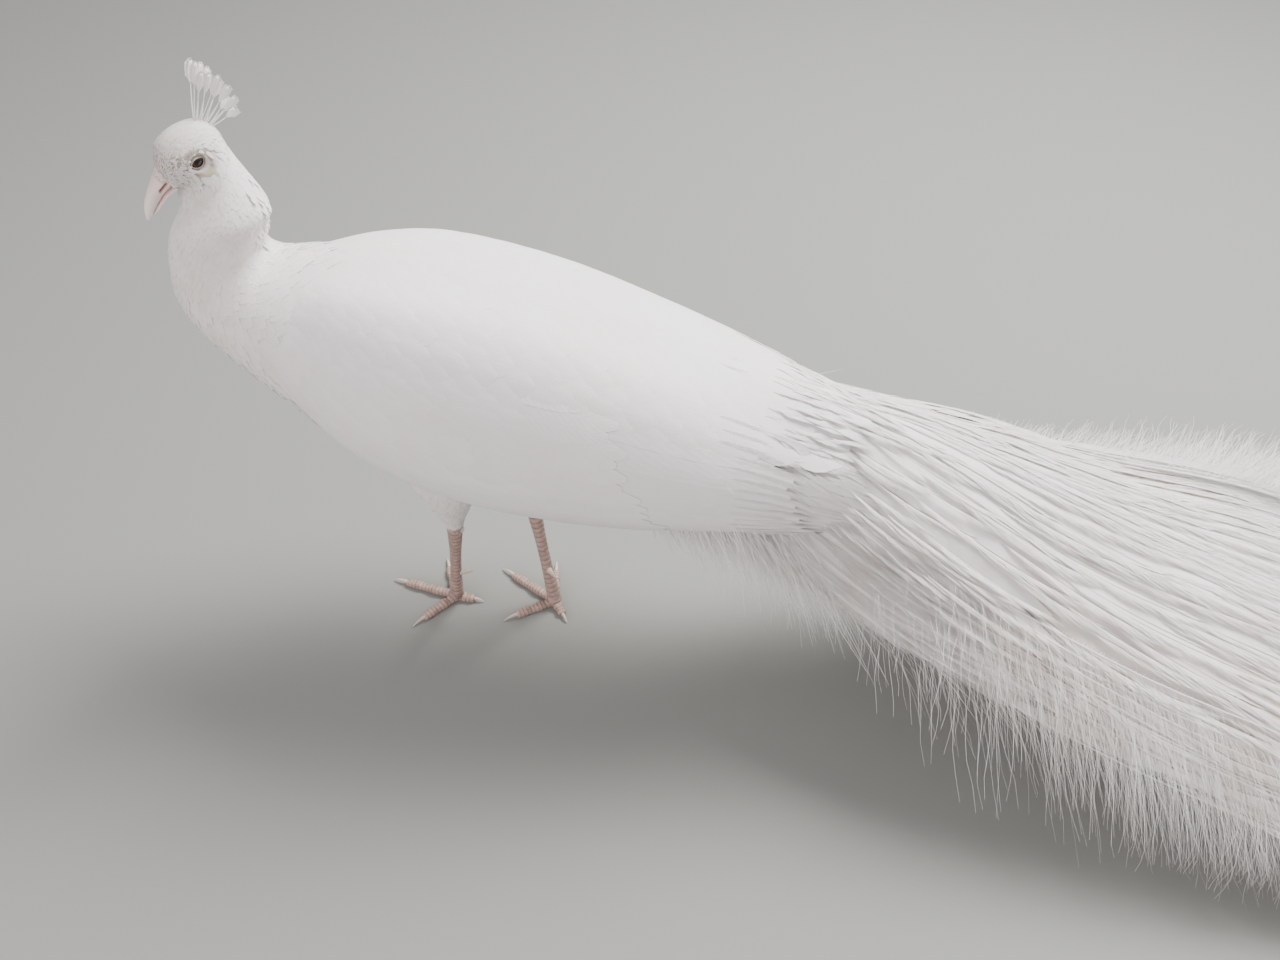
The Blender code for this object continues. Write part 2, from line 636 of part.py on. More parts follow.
# Legs: places of hip, hock and foot, then the toes, the hind one last, as
# (heading from forward in degrees towards the bird's left, length with the claw)
LEGS = {
    "left": {"hip": (-0.040, -0.058), "hock": (-0.052, -0.022, 0.150), "foot": (-0.072, -0.008)},
    "right": {"hip": (-0.005, 0.056), "hock": (0.026, 0.028, 0.148), "foot": (0.050, 0.004)},
}
TOES = {
    "left": ((-9, 0.088), (52, 0.068), (-63, 0.066), (178, 0.036)),
    "right": ((-28, 0.088), (34, 0.068), (-80, 0.066), (128, 0.036)),
}
# The feathered leg from inside the body to the hock: share of the way, half its
# length and half its width
LEG_TOP = 0.330
LEG_SECTIONS = (
    (0.00, 0.052, 0.030),
    (0.25, 0.048, 0.030),
    (0.50, 0.036, 0.026),
    (0.72, 0.023, 0.019),
    (0.90, 0.0145, 0.0130),
    (1.00, 0.0125, 0.0115),
)
LEG_END_RISE = 0.010  # of the feathered leg's end above the hock
SHANK_RISE = 0.0115  # of the shank's path above the hock, before its cut
ANKLE_HEIGHT = 0.009
TARSUS_RADII = (0.0092, 0.0076, 0.0062, 0.0058, 0.0060, 0.0070, 0.0082)

TOE_HEIGHT = 0.0115
TOE_HALF_WIDTH = 0.0055
TOE_SECTIONS = (  # share of the bones' length, of the height and of the half width
    (0.00, 1.15, 1.25),
    (0.24, 0.80, 0.90),
    (0.38, 0.95, 1.08),
    (0.60, 0.72, 0.86),
    (0.72, 0.84, 0.98),
    (1.00, 0.62, 0.72),
)
CLAW_SECTIONS = ((0.5, 0.50, 0.47), (1.0, 0.12, 0.11))  # share of the claw's length, and as above
CLAW_LENGTH = 0.017
HIND_CLAW_LENGTH = 0.012
TOE_PROFILE = ((-0.6, 0.0), (0.6, 0.0), (1.0, 0.45), (0.5, 1.0), (-0.5, 1.0), (-1.0, 0.45))

SPUR_LENGTH = 0.024
SPUR_RISE = 0.15
SPUR_CURL = 0.004
SPUR_RADII = (0.0050, 0.0038, 0.0024, 0.0006)


def build_leg(word):
    hip = LEGS[word]["hip"]
    start = np.array([hip[0], hip[1], LEG_TOP])
    end = np.array(LEGS[word]["hock"]) + (0, 0, LEG_END_RISE)
    turn = np.linspace(0, 2 * math.pi, 17)[:-1]
    rings = []
    for share, half_length, half_width in LEG_SECTIONS:
        ring = np.stack([half_length * np.cos(turn), half_width * np.sin(turn), 0 * turn], -1)
        rings.append(start + (end - start) * share + ring)
    leg = loft("leg_" + word, rings)
    apply_boolean(leg, "DIFFERENCE", [torso_cutter()])


def toe(foot, heading_deg, length, claw):
    heading = math.radians(heading_deg)
    along = np.array([-math.cos(heading), -math.sin(heading), 0.0])
    across = np.array([along[1], -along[0], 0.0])
    bone = length - claw
    sections = [(share * bone, tall, wide) for share, tall, wide in TOE_SECTIONS]
    sections += [(bone + share * claw, tall, wide) for share, tall, wide in CLAW_SECTIONS]
    rings = []
    for out, tall, wide in sections:
        middle = np.array([foot[0], foot[1], 0.0]) + along * out
        half = across * wide * TOE_HALF_WIDTH
        rise = np.array([0, 0, tall * TOE_HEIGHT])
        rings.append([middle + half * a + rise * b for a, b in TOE_PROFILE])
    return loft("toe", rings)


def build_foot(word):
    foot = LEGS[word]["foot"]
    top = np.array(LEGS[word]["hock"]) + (0, 0, SHANK_RISE)
    ankle = np.array([foot[0], foot[1], ANKLE_HEIGHT])
    shares = np.linspace(0, 1, len(TARSUS_RADII))[:, None]
    path = top + (ankle - top) * shares
    shank = tube("foot_" + word, path, TARSUS_RADII, 9, 1.0, (0, 1, 0))
    *front_toes, hind_toe = TOES[word]
    pieces = [toe(foot, heading, length, CLAW_LENGTH) for heading, length in front_toes]
    pieces.append(toe(foot, *hind_toe, HIND_CLAW_LENGTH))
    heading = math.radians(hind_toe[0])
    back = np.array([-math.cos(heading), -math.sin(heading), SPUR_RISE])
    steps = np.linspace(0, 1, len(SPUR_RADII))[:, None]
    spur = path[4] + back * SPUR_LENGTH * steps + np.array([0, 0, SPUR_CURL]) * steps**2
    pieces.append(tube("spur", spur, SPUR_RADII, 6))
    apply_boolean(shank, "UNION", pieces)
    apply_boolean(shank, "DIFFERENCE", [hock_cutter(word)])


def hock_cutter(word):
    """A block from just under the feathered leg's end upwards, which the bare shank is cut back to."""
    hock = np.array(LEGS[word]["hock"])
    turn = np.linspace(0, 2 * math.pi, 21)[:-1]
    ring = 0.03 * np.stack([np.cos(turn), np.sin(turn), 0 * turn], -1)
    low = hock + (0, 0, LEG_END_RISE - GAP)
    return loft("hock_cutter", [ring + low, ring + low + (0, 0, 0.05)])


# name of the material: base colour and roughness
MATERIALS = {
    "plumage": ((0.88, 0.87, 0.86), 0.75),
    "bare_face": ((0.84, 0.80, 0.77), 0.60),
    "horn": ((0.80, 0.62, 0.56), 0.40),
    "leg_scale": ((0.55, 0.42, 0.37), 0.55),
    "eye": ((0.10, 0.05, 0.03), 0.08),
}
SLOT_OF = {
    "head": "bare_face",
    "bill_upper": "horn",
    "bill_lower": "horn",
    "foot_left": "leg_scale",
    "foot_right": "leg_scale",
    "eye_left": "eye",
    "eye_right": "eye",
}


def paint(obj):
    """Gives the object the material of its slot, plumage by default."""
    slot = SLOT_OF.get(obj.name, "plumage")
    material = bpy.data.materials.get(slot) or bpy.data.materials.new(slot)
    material.use_nodes = True
    shader = material.node_tree.nodes["Principled BSDF"]
    colour, roughness = MATERIALS[slot]
    shader.inputs["Base Color"].default_value = (*colour, 1)
    shader.inputs["Roughness"].default_value = roughness
    obj.data.materials.clear()
    obj.data.materials.append(material)


def main():
    for obj in list(bpy.data.objects):
        bpy.data.objects.remove(obj)
    build_body()
    build_head()
    build_crest()
    for side, word in ((-1, "left"), (1, "right")):
        build_wing(side, word)
        build_leg(word)
        build_foot(word)
    build_train()
    build_tail()
    bird = bpy.data.objects.new("bird", None)
    bird.location.x = FEET_X
    bpy.context.scene.collection.objects.link(bird)
    for obj in bpy.data.objects:
        if obj.type == "MESH":
            obj.parent = bird
            paint(obj)


main()
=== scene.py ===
# %% [markdown]
# # A white peafowl cock, dressed feather by feather
#
# The solids of a life-size model bird are ready: body, head, wings, train and
# feet. Here they get skin, feathers, lids, scales and finish. The solids stay
# the measure of everything, so each new piece is worked out on the same curves
# that they were made from, in metres from the ground between the bird's feet.

# %% Load the solid bird
import math

import bpy
import numpy as np
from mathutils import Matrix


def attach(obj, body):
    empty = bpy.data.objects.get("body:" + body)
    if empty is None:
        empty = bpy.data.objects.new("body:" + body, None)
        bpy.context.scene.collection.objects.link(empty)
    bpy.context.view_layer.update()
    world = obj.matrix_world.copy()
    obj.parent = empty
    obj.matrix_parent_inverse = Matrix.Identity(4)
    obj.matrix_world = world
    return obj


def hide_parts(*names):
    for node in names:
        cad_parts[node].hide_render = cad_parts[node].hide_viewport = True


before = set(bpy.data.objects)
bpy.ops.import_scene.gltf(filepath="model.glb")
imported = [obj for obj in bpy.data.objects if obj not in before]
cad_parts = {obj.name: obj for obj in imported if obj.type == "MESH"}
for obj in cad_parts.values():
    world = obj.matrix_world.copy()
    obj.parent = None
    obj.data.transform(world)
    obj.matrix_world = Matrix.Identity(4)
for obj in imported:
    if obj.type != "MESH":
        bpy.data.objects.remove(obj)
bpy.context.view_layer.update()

FEET_X = -0.60  # the ground between the feet, in the frame
draws = np.random.default_rng(20)

# %% [markdown]
# ## Camera, floor and light
#
# The bird was seen from its left, from above and a little behind, by a
# wide-angle camera close to it, so its near side looks large and its train
# widens towards us. The same place and lens are set first, since every shape is
# judged through them. The floor is a plain pale sheet, a little darker than the
# feathers, so that a white bird still has an outline. A large soft lamp above
# the back gives the bright upper side, and a weak one fills the flank.

# %% Camera
LENS_MM = 32.34
SENSOR_MM = 36.0
CAMERA_AT = (-0.303, -0.831, 1.151)
CAMERA_TO = (-0.442, 0.0, 0.248)


def look_at(obj, place, target):
    """Sets obj at place and turns its -Z axis to the target."""
    obj.location = place
    sight = np.subtract(target, place)
    flat = math.hypot(sight[0], sight[1])
    obj.rotation_euler = (math.atan2(flat, -sight[2]), 0.0, math.atan2(-sight[0], sight[1]))


camera_data = bpy.data.cameras.new("camera")
camera_data.lens = LENS_MM
camera_data.sensor_width = SENSOR_MM
camera = bpy.data.objects.new("camera", camera_data)
bpy.context.scene.collection.objects.link(camera)
look_at(camera, CAMERA_AT, CAMERA_TO)
bpy.context.scene.camera = camera

# %% Lamps and sky


def soft_lamp(name, place, target, size, watts, colour):
    """A square lamp, whose size sets how soft its shadows are."""
    data = bpy.data.lights.new(name, "AREA")
    data.shape = "SQUARE"
    data.size = size
    data.energy = watts
    data.color = colour
    lamp = bpy.data.objects.new(name, data)
    bpy.context.scene.collection.objects.link(lamp)
    look_at(lamp, place, target)


soft_lamp("key", (0.4, 1.0, 2.4), (-0.2, 0.0, 0.3), 1.2, 165, (1.0, 0.99, 0.97))
soft_lamp("fill", (-1.4, -2.2, 1.3), (-0.2, 0.0, 0.3), 2.0, 36, (1.0, 0.93, 0.92))
sky = bpy.data.worlds.new("sky")
sky.use_nodes = True
sky.node_tree.nodes["Background"].inputs["Color"].default_value = (1.0, 0.965, 0.985, 1)
sky.node_tree.nodes["Background"].inputs["Strength"].default_value = 0.75
bpy.context.scene.world = sky

# %% [markdown]
# ## Curves that the solids were made from
#
# A smooth curve through a few rows of numbers gives the body, the wings and the
# train. Repeating those rows here puts each feather on the very surface of its
# solid, and a feather needs only a place and a height on it.

# %% Rows
BODY_ROWS = (  # upper x and z, lower x and z, half width: from the tail's root to the neck
    (0.335, 0.352, 0.322, 0.300, 0.030),
    (0.262, 0.402, 0.238, 0.276, 0.058),
    (0.172, 0.446, 0.150, 0.252, 0.080),
    (0.070, 0.484, 0.058, 0.240, 0.094),
    (-0.030, 0.503, -0.030, 0.242, 0.100),
    (-0.110, 0.506, -0.120, 0.275, 0.095),
    (-0.165, 0.499, -0.190, 0.335, 0.080),
    (-0.200, 0.492, -0.266, 0.396, 0.060),
    (-0.214, 0.503, -0.300, 0.442, 0.047),
    (-0.205, 0.527, -0.299, 0.488, 0.043),
    (-0.193, 0.556, -0.286, 0.526, 0.039),
)
HEAD_PLACE = np.array((-0.2500, 0.0015, 0.6010))
HEAD_YAW = math.radians(48)
HEAD_PITCH = math.radians(20)
HEAD_ROWS = (  # upper u and v, lower u and v, half width: u runs forward and v up from the eyes
    (-0.032, -0.008, 0.034, -0.036, 0.0335),
    (-0.031, 0.008, 0.030, -0.029, 0.0265),
    (-0.022, 0.021, 0.027, -0.025, 0.0235),
    (-0.004, 0.027, 0.026, -0.0225, 0.0215),
    (0.014, 0.0250, 0.026, -0.0205, 0.0195),
    (0.0228, 0.0182, 0.0265, -0.0195, 0.0155),
    (0.0300, 0.0080, 0.0305, -0.0180, 0.0104),
)
LAST_PLACE = len(BODY_ROWS) + len(HEAD_ROWS) - 1
WING_ROWS = (
    (-0.176, 0.503, -0.200, 0.352, 0.080),
    (-0.110, 0.512, -0.118, 0.276, 0.099),
    (-0.020, 0.510, -0.020, 0.238, 0.110),
    (0.080, 0.490, 0.070, 0.226, 0.113),
    (0.180, 0.454, 0.165, 0.230, 0.108),
    (0.260, 0.420, 0.245, 0.242, 0.100),
    (0.335, 0.385, 0.315, 0.250, 0.090),
)
WING_UPPER_DEG = 33
WING_LOWER_DEG = 128
SIDES = ((-1, "left"), (1, "right"))  # signs of y
HEAD_SIDES = ((1, "left"), (-1, "right"))  # signs of the leftward distance on the head
TRAIN_ROWS = (  # x, height of the middle, half width, how far the edges hang, lean to the left
    (0.170, 0.4290, 0.050, 0.058, 0.00),
    (0.230, 0.416, 0.058, 0.092, 0.04),
    (0.300, 0.392, 0.070, 0.126, 0.08),
    (0.400, 0.358, 0.113, 0.128, 0.13),
    (0.500, 0.313, 0.146, 0.104, 0.14),
    (0.660, 0.242, 0.182, 0.080, 0.14),
    (0.860, 0.173, 0.218, 0.052, 0.12),
    (1.060, 0.100, 0.234, 0.032, 0.08),
    (1.280, 0.034, 0.247, 0.010, 0.02),
    (1.500, -0.0012, 0.248, 0.000, 0.00),
)


def smooth_rows(rows, places):
    """A cubic through the rows, whose slope at each row comes from the rows on both sides of it.

    Past the first and the last row it goes on straight.
    """
    rows = np.asarray(rows, float)
    given = np.asarray(places, float)
    places = np.clip(given, 0, len(rows) - 1)
    start = np.minimum(places.astype(int), len(rows) - 2)
    t = (places - start)[..., None]
    padded = np.vstack([2 * rows[0] - rows[1], rows, 2 * rows[-1] - rows[-2]])
    a, b, c, d = (padded[start + k] for k in range(4))
    past = (given - places)[..., None] * (c - b)
    return b + past + 0.5 * t * (c - a + t * (2 * a - 5 * b + 4 * c - d + t * (3 * (b - c) + d - a)))


def ring_angles(count):
    """Angles of count even steps round a full turn."""
    return np.linspace(0, 2 * np.pi, count + 1)[:-1]


def grid(first, second):
    """Two arrays that pair every value of the first, down, with every value of the second, across."""
    return np.broadcast_arrays(first[:, None], second[None, :])


def smoothstep(low, high, value):
    """0 below low, 1 above high and a soft S between them, or the other way round."""
    t = np.clip((value - low) / (high - low), 0, 1)
    return t * t * (3 - 2 * t)


# %% The head's own directions
COS_YAW, SIN_YAW = math.cos(HEAD_YAW), math.sin(HEAD_YAW)
COS_PITCH, SIN_PITCH = math.cos(HEAD_PITCH), math.sin(HEAD_PITCH)
FORWARD = np.array([-COS_YAW * COS_PITCH, -SIN_YAW * COS_PITCH, -SIN_PITCH])
LEFTWARD = np.array([SIN_YAW, -COS_YAW, 0.0])
UPWARD = np.array([-COS_YAW * SIN_PITCH, -SIN_YAW * SIN_PITCH, COS_PITCH])
HEAD_AXES = np.stack([FORWARD, UPWARD, LEFTWARD])


def from_head(u, v, out):
    """Places in space from distances forward, up and leftward of the point between the eyes."""
    local = np.stack(np.broadcast_arrays(u, v, out), -1)
    return HEAD_PLACE + local @ HEAD_AXES


def to_head(points):
    """The reverse of from_head: arrays of the distances forward, up and leftward."""
    return np.moveaxis((points - HEAD_PLACE) @ HEAD_AXES.T, -1, 0)


def bird_rows():
    """Upper point, lower point and leftward half width of every section, tail to bill."""
    rows = [(xu, 0, zu, xl, 0, zl, 0, -half, 0) for xu, zu, xl, zl, half in BODY_ROWS]
    for uu, vu, ul, vl, half in HEAD_ROWS:
        rows.append((*from_head(uu, vu, 0), *from_head(ul, vl, 0), *(LEFTWARD * half)))
    return np.array(rows)


BIRD_ROWS = bird_rows()


# %% Sheets: body, wing, train
def body_sheet(u, v, height):
    """The bird's outline: u counts rows, negative so that it grows tailward, v is the angle from the back.

    Each section is an ellipse, and height pushes it outward.
    """
    row = smooth_rows(BIRD_ROWS, -u)
    upper, lower, side = row[..., 0:3], row[..., 3:6], row[..., 6:9]
    reach = (upper - lower) / 2
    tall = np.linalg.norm(reach, axis=-1, keepdims=True)
    wide = np.linalg.norm(side, axis=-1, keepdims=True)
    cos_v, sin_v = np.cos(v)[..., None], np.sin(v)[..., None]
    lift = np.asarray(height, float)[..., None]
    return (upper + lower) / 2 + reach * cos_v * (1 + lift / tall) + side * sin_v * (1 + lift / wide)


def wing_shell(u, angle, height):
    """The envelope of both wings: u from shoulder (0) to tip (1), angle from the back, left below 0."""
    row = smooth_rows(WING_ROWS, u * (len(WING_ROWS) - 1))
    middle = (row[..., 0:2] + row[..., 2:4]) / 2
    reach = (row[..., 0:2] - row[..., 2:4]) / 2
    share = np.cos(angle) * (1 + height / np.linalg.norm(reach, axis=-1))
    y = (row[..., 4] + height) * np.sin(angle)
    parts = middle[..., 0] + reach[..., 0] * share, y, middle[..., 1] + reach[..., 1] * share
    return np.stack(np.broadcast_arrays(*parts), -1)


def wing_angle(v):
    """Angle from the back of a place between the wing's upper (0) and its lower edge (1)."""
    return np.radians(WING_UPPER_DEG + (WING_LOWER_DEG - WING_UPPER_DEG) * v)


def wing_sheet_of(side):
    """One folded wing: u from shoulder (0) to tip (1), v from its upper (0) to its lower edge (1)."""
    return lambda u, v, height: wing_shell(u, side * wing_angle(v), height)


TRAIN_XS = np.array([row[0] for row in TRAIN_ROWS])


def train_sheet(u, v, height):
    """The train's upper surface: u is x, v runs across from -1 to 1, and its edges hang by v squared.

    Beyond -1 and 1 it hangs on where the train is narrow, and hardly goes on where it lies on the ground.
    """
    past = np.maximum(u - TRAIN_XS[-1], 0) / (TRAIN_XS[-1] - TRAIN_XS[-2])
    before = np.minimum(u - TRAIN_XS[0], 0) / (TRAIN_XS[1] - TRAIN_XS[0])
    row = smooth_rows(TRAIN_ROWS, np.interp(u, TRAIN_XS, np.arange(len(TRAIN_XS))) + past + before)
    outside = np.maximum(np.abs(v) - 1, 0) * (0.10 + 0.90 * smoothstep(1.25, 0.80, u))
    across = np.sign(v) * (np.minimum(np.abs(v), 1) + outside)
    y = across * row[..., 2]
    z = row[..., 1] - row[..., 3] * across**2 + row[..., 4] * y + height
    return np.stack(np.broadcast_arrays(row[..., 0], y, z), -1)


def train_depth(u, v):
    """Thickness of the train's solid root, thinner to its sides and its end."""
    depth = np.interp(u, (0.20, 0.33, 0.45, 0.60, 0.80), (0.060, 0.044, 0.026, 0.014, 0.010))
    return depth * (1 - 0.75 * v**2)


def under_train_sheet(u, v, height):
    """The under side of the train's solid root, where the true tail lies."""
    return train_sheet(u, v, height - train_depth(u, v))


# %% [markdown]
# ## From numbers to meshes
#
# One function turns whole arrays of points into a mesh. Two kinds of pattern of
# points are enough for this bird: closed tubes, for bones, shafts and bodies,
# and patches, a few points long and a few wide, for feathers and their barbs.
# Every patch also gets two maps: "Vane", across and along the feather itself
# for its fine lines, and "OFBake", a tiny square at its root's place on the
# unrolled bird, through which colours can be kept for other programs.

# %% Mesh builder
WIDEST_Y = 0.263  # nothing reaches further out to a side than this
coat_total = 0


def add_piece(name, points, faces, material, nodes=(), maps=None, values=None, rims=None):
    """Makes a mesh object of points (n, 3) and face arrays (m, corners), with maps and values by point."""
    global coat_total
    points = np.asarray(points, float).reshape(-1, 3) + (FEET_X, 0, 0)
    points[:, 1] = np.clip(points[:, 1], -WIDEST_Y, WIDEST_Y)
    points[:, 2] = np.maximum(points[:, 2], 0.0)
    corners = np.concatenate([part.ravel() for part in faces]).astype(np.int32)
    sizes = np.concatenate([np.full(len(part), part.shape[1]) for part in faces])
    mesh = bpy.data.meshes.new(name)
    mesh.vertices.add(len(points))
    mesh.vertices.foreach_set("co", points.astype(np.float32).ravel())
    mesh.loops.add(len(corners))
    mesh.loops.foreach_set("vertex_index", corners)
    mesh.polygons.add(len(sizes))
    mesh.polygons.foreach_set("loop_start", np.concatenate([[0], np.cumsum(sizes)[:-1]]).astype(np.int32))
    mesh.polygons.foreach_set("use_smooth", np.ones(len(sizes), bool))
    mesh.update(calc_edges=True)
    for key, uv in (maps or {}).items():
        layer = mesh.uv_layers.new(name=key)
        layer.data.foreach_set("uv", uv.reshape(-1, 2)[corners].astype(np.float32).ravel())
    if maps and "Vane" in maps:
        mesh.uv_layers["Vane"].active_render = True
    for key, value in (values or {}).items():
        attribute = mesh.attributes.new(key, "FLOAT", "POINT")
        attribute.data.foreach_set("value", np.asarray(value, np.float32).ravel())
    if rims is not None:
        ends = np.empty(len(mesh.edges) * 2, np.int32)
        mesh.edges.foreach_get("vertices", ends)
        sharp = mesh.attributes.new("sharp_edge", "BOOLEAN", "EDGE")
        sharp.data.foreach_set("value", rims.ravel()[ends.reshape(-1, 2)].all(axis=1))
    mesh.validate()
    mesh.materials.append(material)
    obj = bpy.data.objects.new(name, mesh)
    bpy.context.scene.collection.objects.link(obj)
    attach(obj, "root")
    if nodes:
        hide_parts(*nodes)
    triangles = int((sizes - 2).sum())
    coat_total += triangles
    print(f"{name}: {triangles} triangles")
    return obj


def patch_faces(count, long, wide, closed=False):
    """Quads of count patches of long by wide points. closed joins the last point across to the first."""
    base = np.arange(count)[:, None, None] * long * wide
    i = np.arange(long - 1)[None, :, None] * wide
    j = np.arange(wide if closed else wide - 1)[None, None, :]
    k = (j + 1) % wide
    corners = base + i + j, base + i + k, base + i + wide + k, base + i + wide + j
    return np.stack(np.broadcast_arrays(*corners), -1).reshape(-1, 4)


def tube_faces(count, long, around):
    """Quads round count closed tubes, with a many-sided face on both ends of each."""
    quads = patch_faces(count, long, around, closed=True)
    base = np.arange(count)[:, None] * long * around
    first = base + np.arange(around)[None, ::-1]
    last = base + (long - 1) * around + np.arange(around)[None, :]
    return [quads, first, last]


def outward_tube(points):
    """Turns a tube (long, around, 3) the right way out, by the sign of its volume."""
    a, b = points[:-1], np.roll(points, -1, axis=1)[:-1]
    c = points[1:]
    centre = points.mean(axis=(0, 1))
    volume = np.einsum("ijk,ijk->", a - centre, np.cross(b - centre, c - centre))
    return points if volume > 0 else points[:, ::-1]


def join_tubes(tubes):
    """Points and faces of several tubes of any size as one mesh."""
    points, quads, caps, start = [], [], {}, 0
    for tube in tubes:
        tube = outward_tube(np.asarray(tube, float))
        faces = tube_faces(1, *tube.shape[:2])
        points.append(tube.reshape(-1, 3))
        quads.append(faces[0] + start)
        for cap in faces[1:]:
            caps.setdefault(cap.shape[1], []).append(cap + start)
        start += len(points[-1])
    return np.concatenate(points), [np.concatenate(quads)] + [np.concatenate(c) for c in caps.values()]


# %% [markdown]
# ## Feathers on a sheet
#
# A feather follows the surface that it lies on. Its shaft starts at a root and
# goes on in short equal steps, each measured on the surface itself, so a
# feather keeps its true length wherever the sheet's own lines draw together.
# Then the vane spreads to both sides. Its tip lies higher than its root, so
# that it covers the root of the next one, like tiles on a roof.

# %% Lay vanes
UV_PATCH = 0.003  # size of a feather's square on the unrolled bird
METRIC_STEP = 0.01  # of u and v, over which a sheet's own scale is measured


def metric(sheet, u, v, height):
    """How far the sheet's surface moves for a unit of u and for a unit of v."""
    step = METRIC_STEP
    along = (sheet(u + step, v, height) - sheet(u - step, v, height)) / (2 * step)
    across = (sheet(u, v + step, height) - sheet(u, v - step, height)) / (2 * step)
    return along, across


def unit(vectors):
    """Vectors of length 1 that point the same way."""
    return vectors / np.maximum(np.linalg.norm(vectors, axis=-1, keepdims=True), 1e-9)


def lay_vanes(sheet, u0, v0, length, half, base, shape, heading=0.0, turn=0.0, wide=3):
    """Vanes laid on a sheet, all at once.

    base(u, v) is the height of the surface that they lie on. shape holds, for
    each place along the feather, its share of the width and its height above
    the base. heading turns the feather from the sheet's u line, and turn bends
    it on along its length.
    """
    shares, rises = np.asarray(shape["width"]), np.asarray(shape["rise"])
    long = len(shares)
    along_step = length / (long - 1)
    heading = np.broadcast_to(np.asarray(heading, float), u0.shape)
    turn = np.broadcast_to(np.asarray(turn, float), u0.shape)
    us, vs = [u0], [v0]
    for k in range(long - 1):
        along, across = metric(sheet, us[-1], vs[-1], base(us[-1], vs[-1]))
        angle = heading + turn * k / (long - 1)
        us.append(us[-1] + along_step * np.cos(angle) / np.linalg.norm(along, axis=-1))
        vs.append(vs[-1] + along_step * np.sin(angle) / np.linalg.norm(across, axis=-1))
    u, v = np.stack(us, 1), np.stack(vs, 1)
    height = base(u, v)
    along, across = metric(sheet, u, v, height)
    eu, ev = np.linalg.norm(along, axis=-1), np.linalg.norm(across, axis=-1)
    angle = heading[:, None] + turn[:, None] * np.linspace(0, 1, long)
    t = np.linspace(-1, 1, wide)
    widths = half[:, None] * shares[None, :]
    offset = widths[..., None] * t
    rise = np.broadcast_to(rises, u.shape) * shape.get("rise_scale", 1.0)
    lift = rise[..., None] - shape.get("crown", 0.0) * widths[..., None] * t**2
    lift = lift + shape.get("roll", 0.0) * offset
    beside_u = u[..., None] - offset * (np.sin(angle) / eu)[..., None]
    beside_v = v[..., None] + offset * (np.cos(angle) / ev)[..., None]
    points = sheet(beside_u, beside_v, base(beside_u, beside_v) + lift)
    centre = sheet(u, v, height + rise)
    normal = unit(sheet(u, v, height + 0.001) - sheet(u, v, height - 0.001))
    tangent = unit(np.gradient(centre, axis=1))
    side = unit(np.cross(normal, tangent))
    outward = unit(np.cross(tangent, side))
    face = np.cross(points[:, 1, 1] - points[:, 0, 1], points[:, 0, -1] - points[:, 0, 0])
    flip = (face * normal[:, 0]).sum(-1) < 0
    points[flip] = points[flip][:, :, ::-1]
    return {"points": points, "centre": centre, "tangent": tangent, "side": side, "normal": outward,
            "u": u, "v": v, "width": widths}


def some_vanes(vane, chosen):
    """The chosen ones of laid vanes."""
    return {key: value[chosen] for key, value in vane.items()}


def vane_maps(vane, place_of):
    """The Vane map and the OFBake map of laid vanes. place_of gives a root's place on the unrolled bird."""
    count, long, wide = vane["points"].shape[:3]
    s = np.broadcast_to(np.linspace(0, 1, long)[None, :, None], (count, long, wide))
    t = np.broadcast_to(np.linspace(0, 1, wide)[None, None, :], (count, long, wide))
    own = np.stack([s, t], -1)
    root = np.stack(place_of(vane["u"][:, 0], vane["v"][:, 0]), -1)[:, None, None, :]
    return own, root + UV_PATCH * (own - 0.5)


def close_vanes(vane, thick):
    """Points (count, long, ring, 3) of vanes with an under side: the ring runs over the top, back below."""
    top = vane["points"]
    below = top[:, :, -2:0:-1] - thick * vane["normal"][:, :, None, :]
    return np.concatenate([top, below], axis=2)


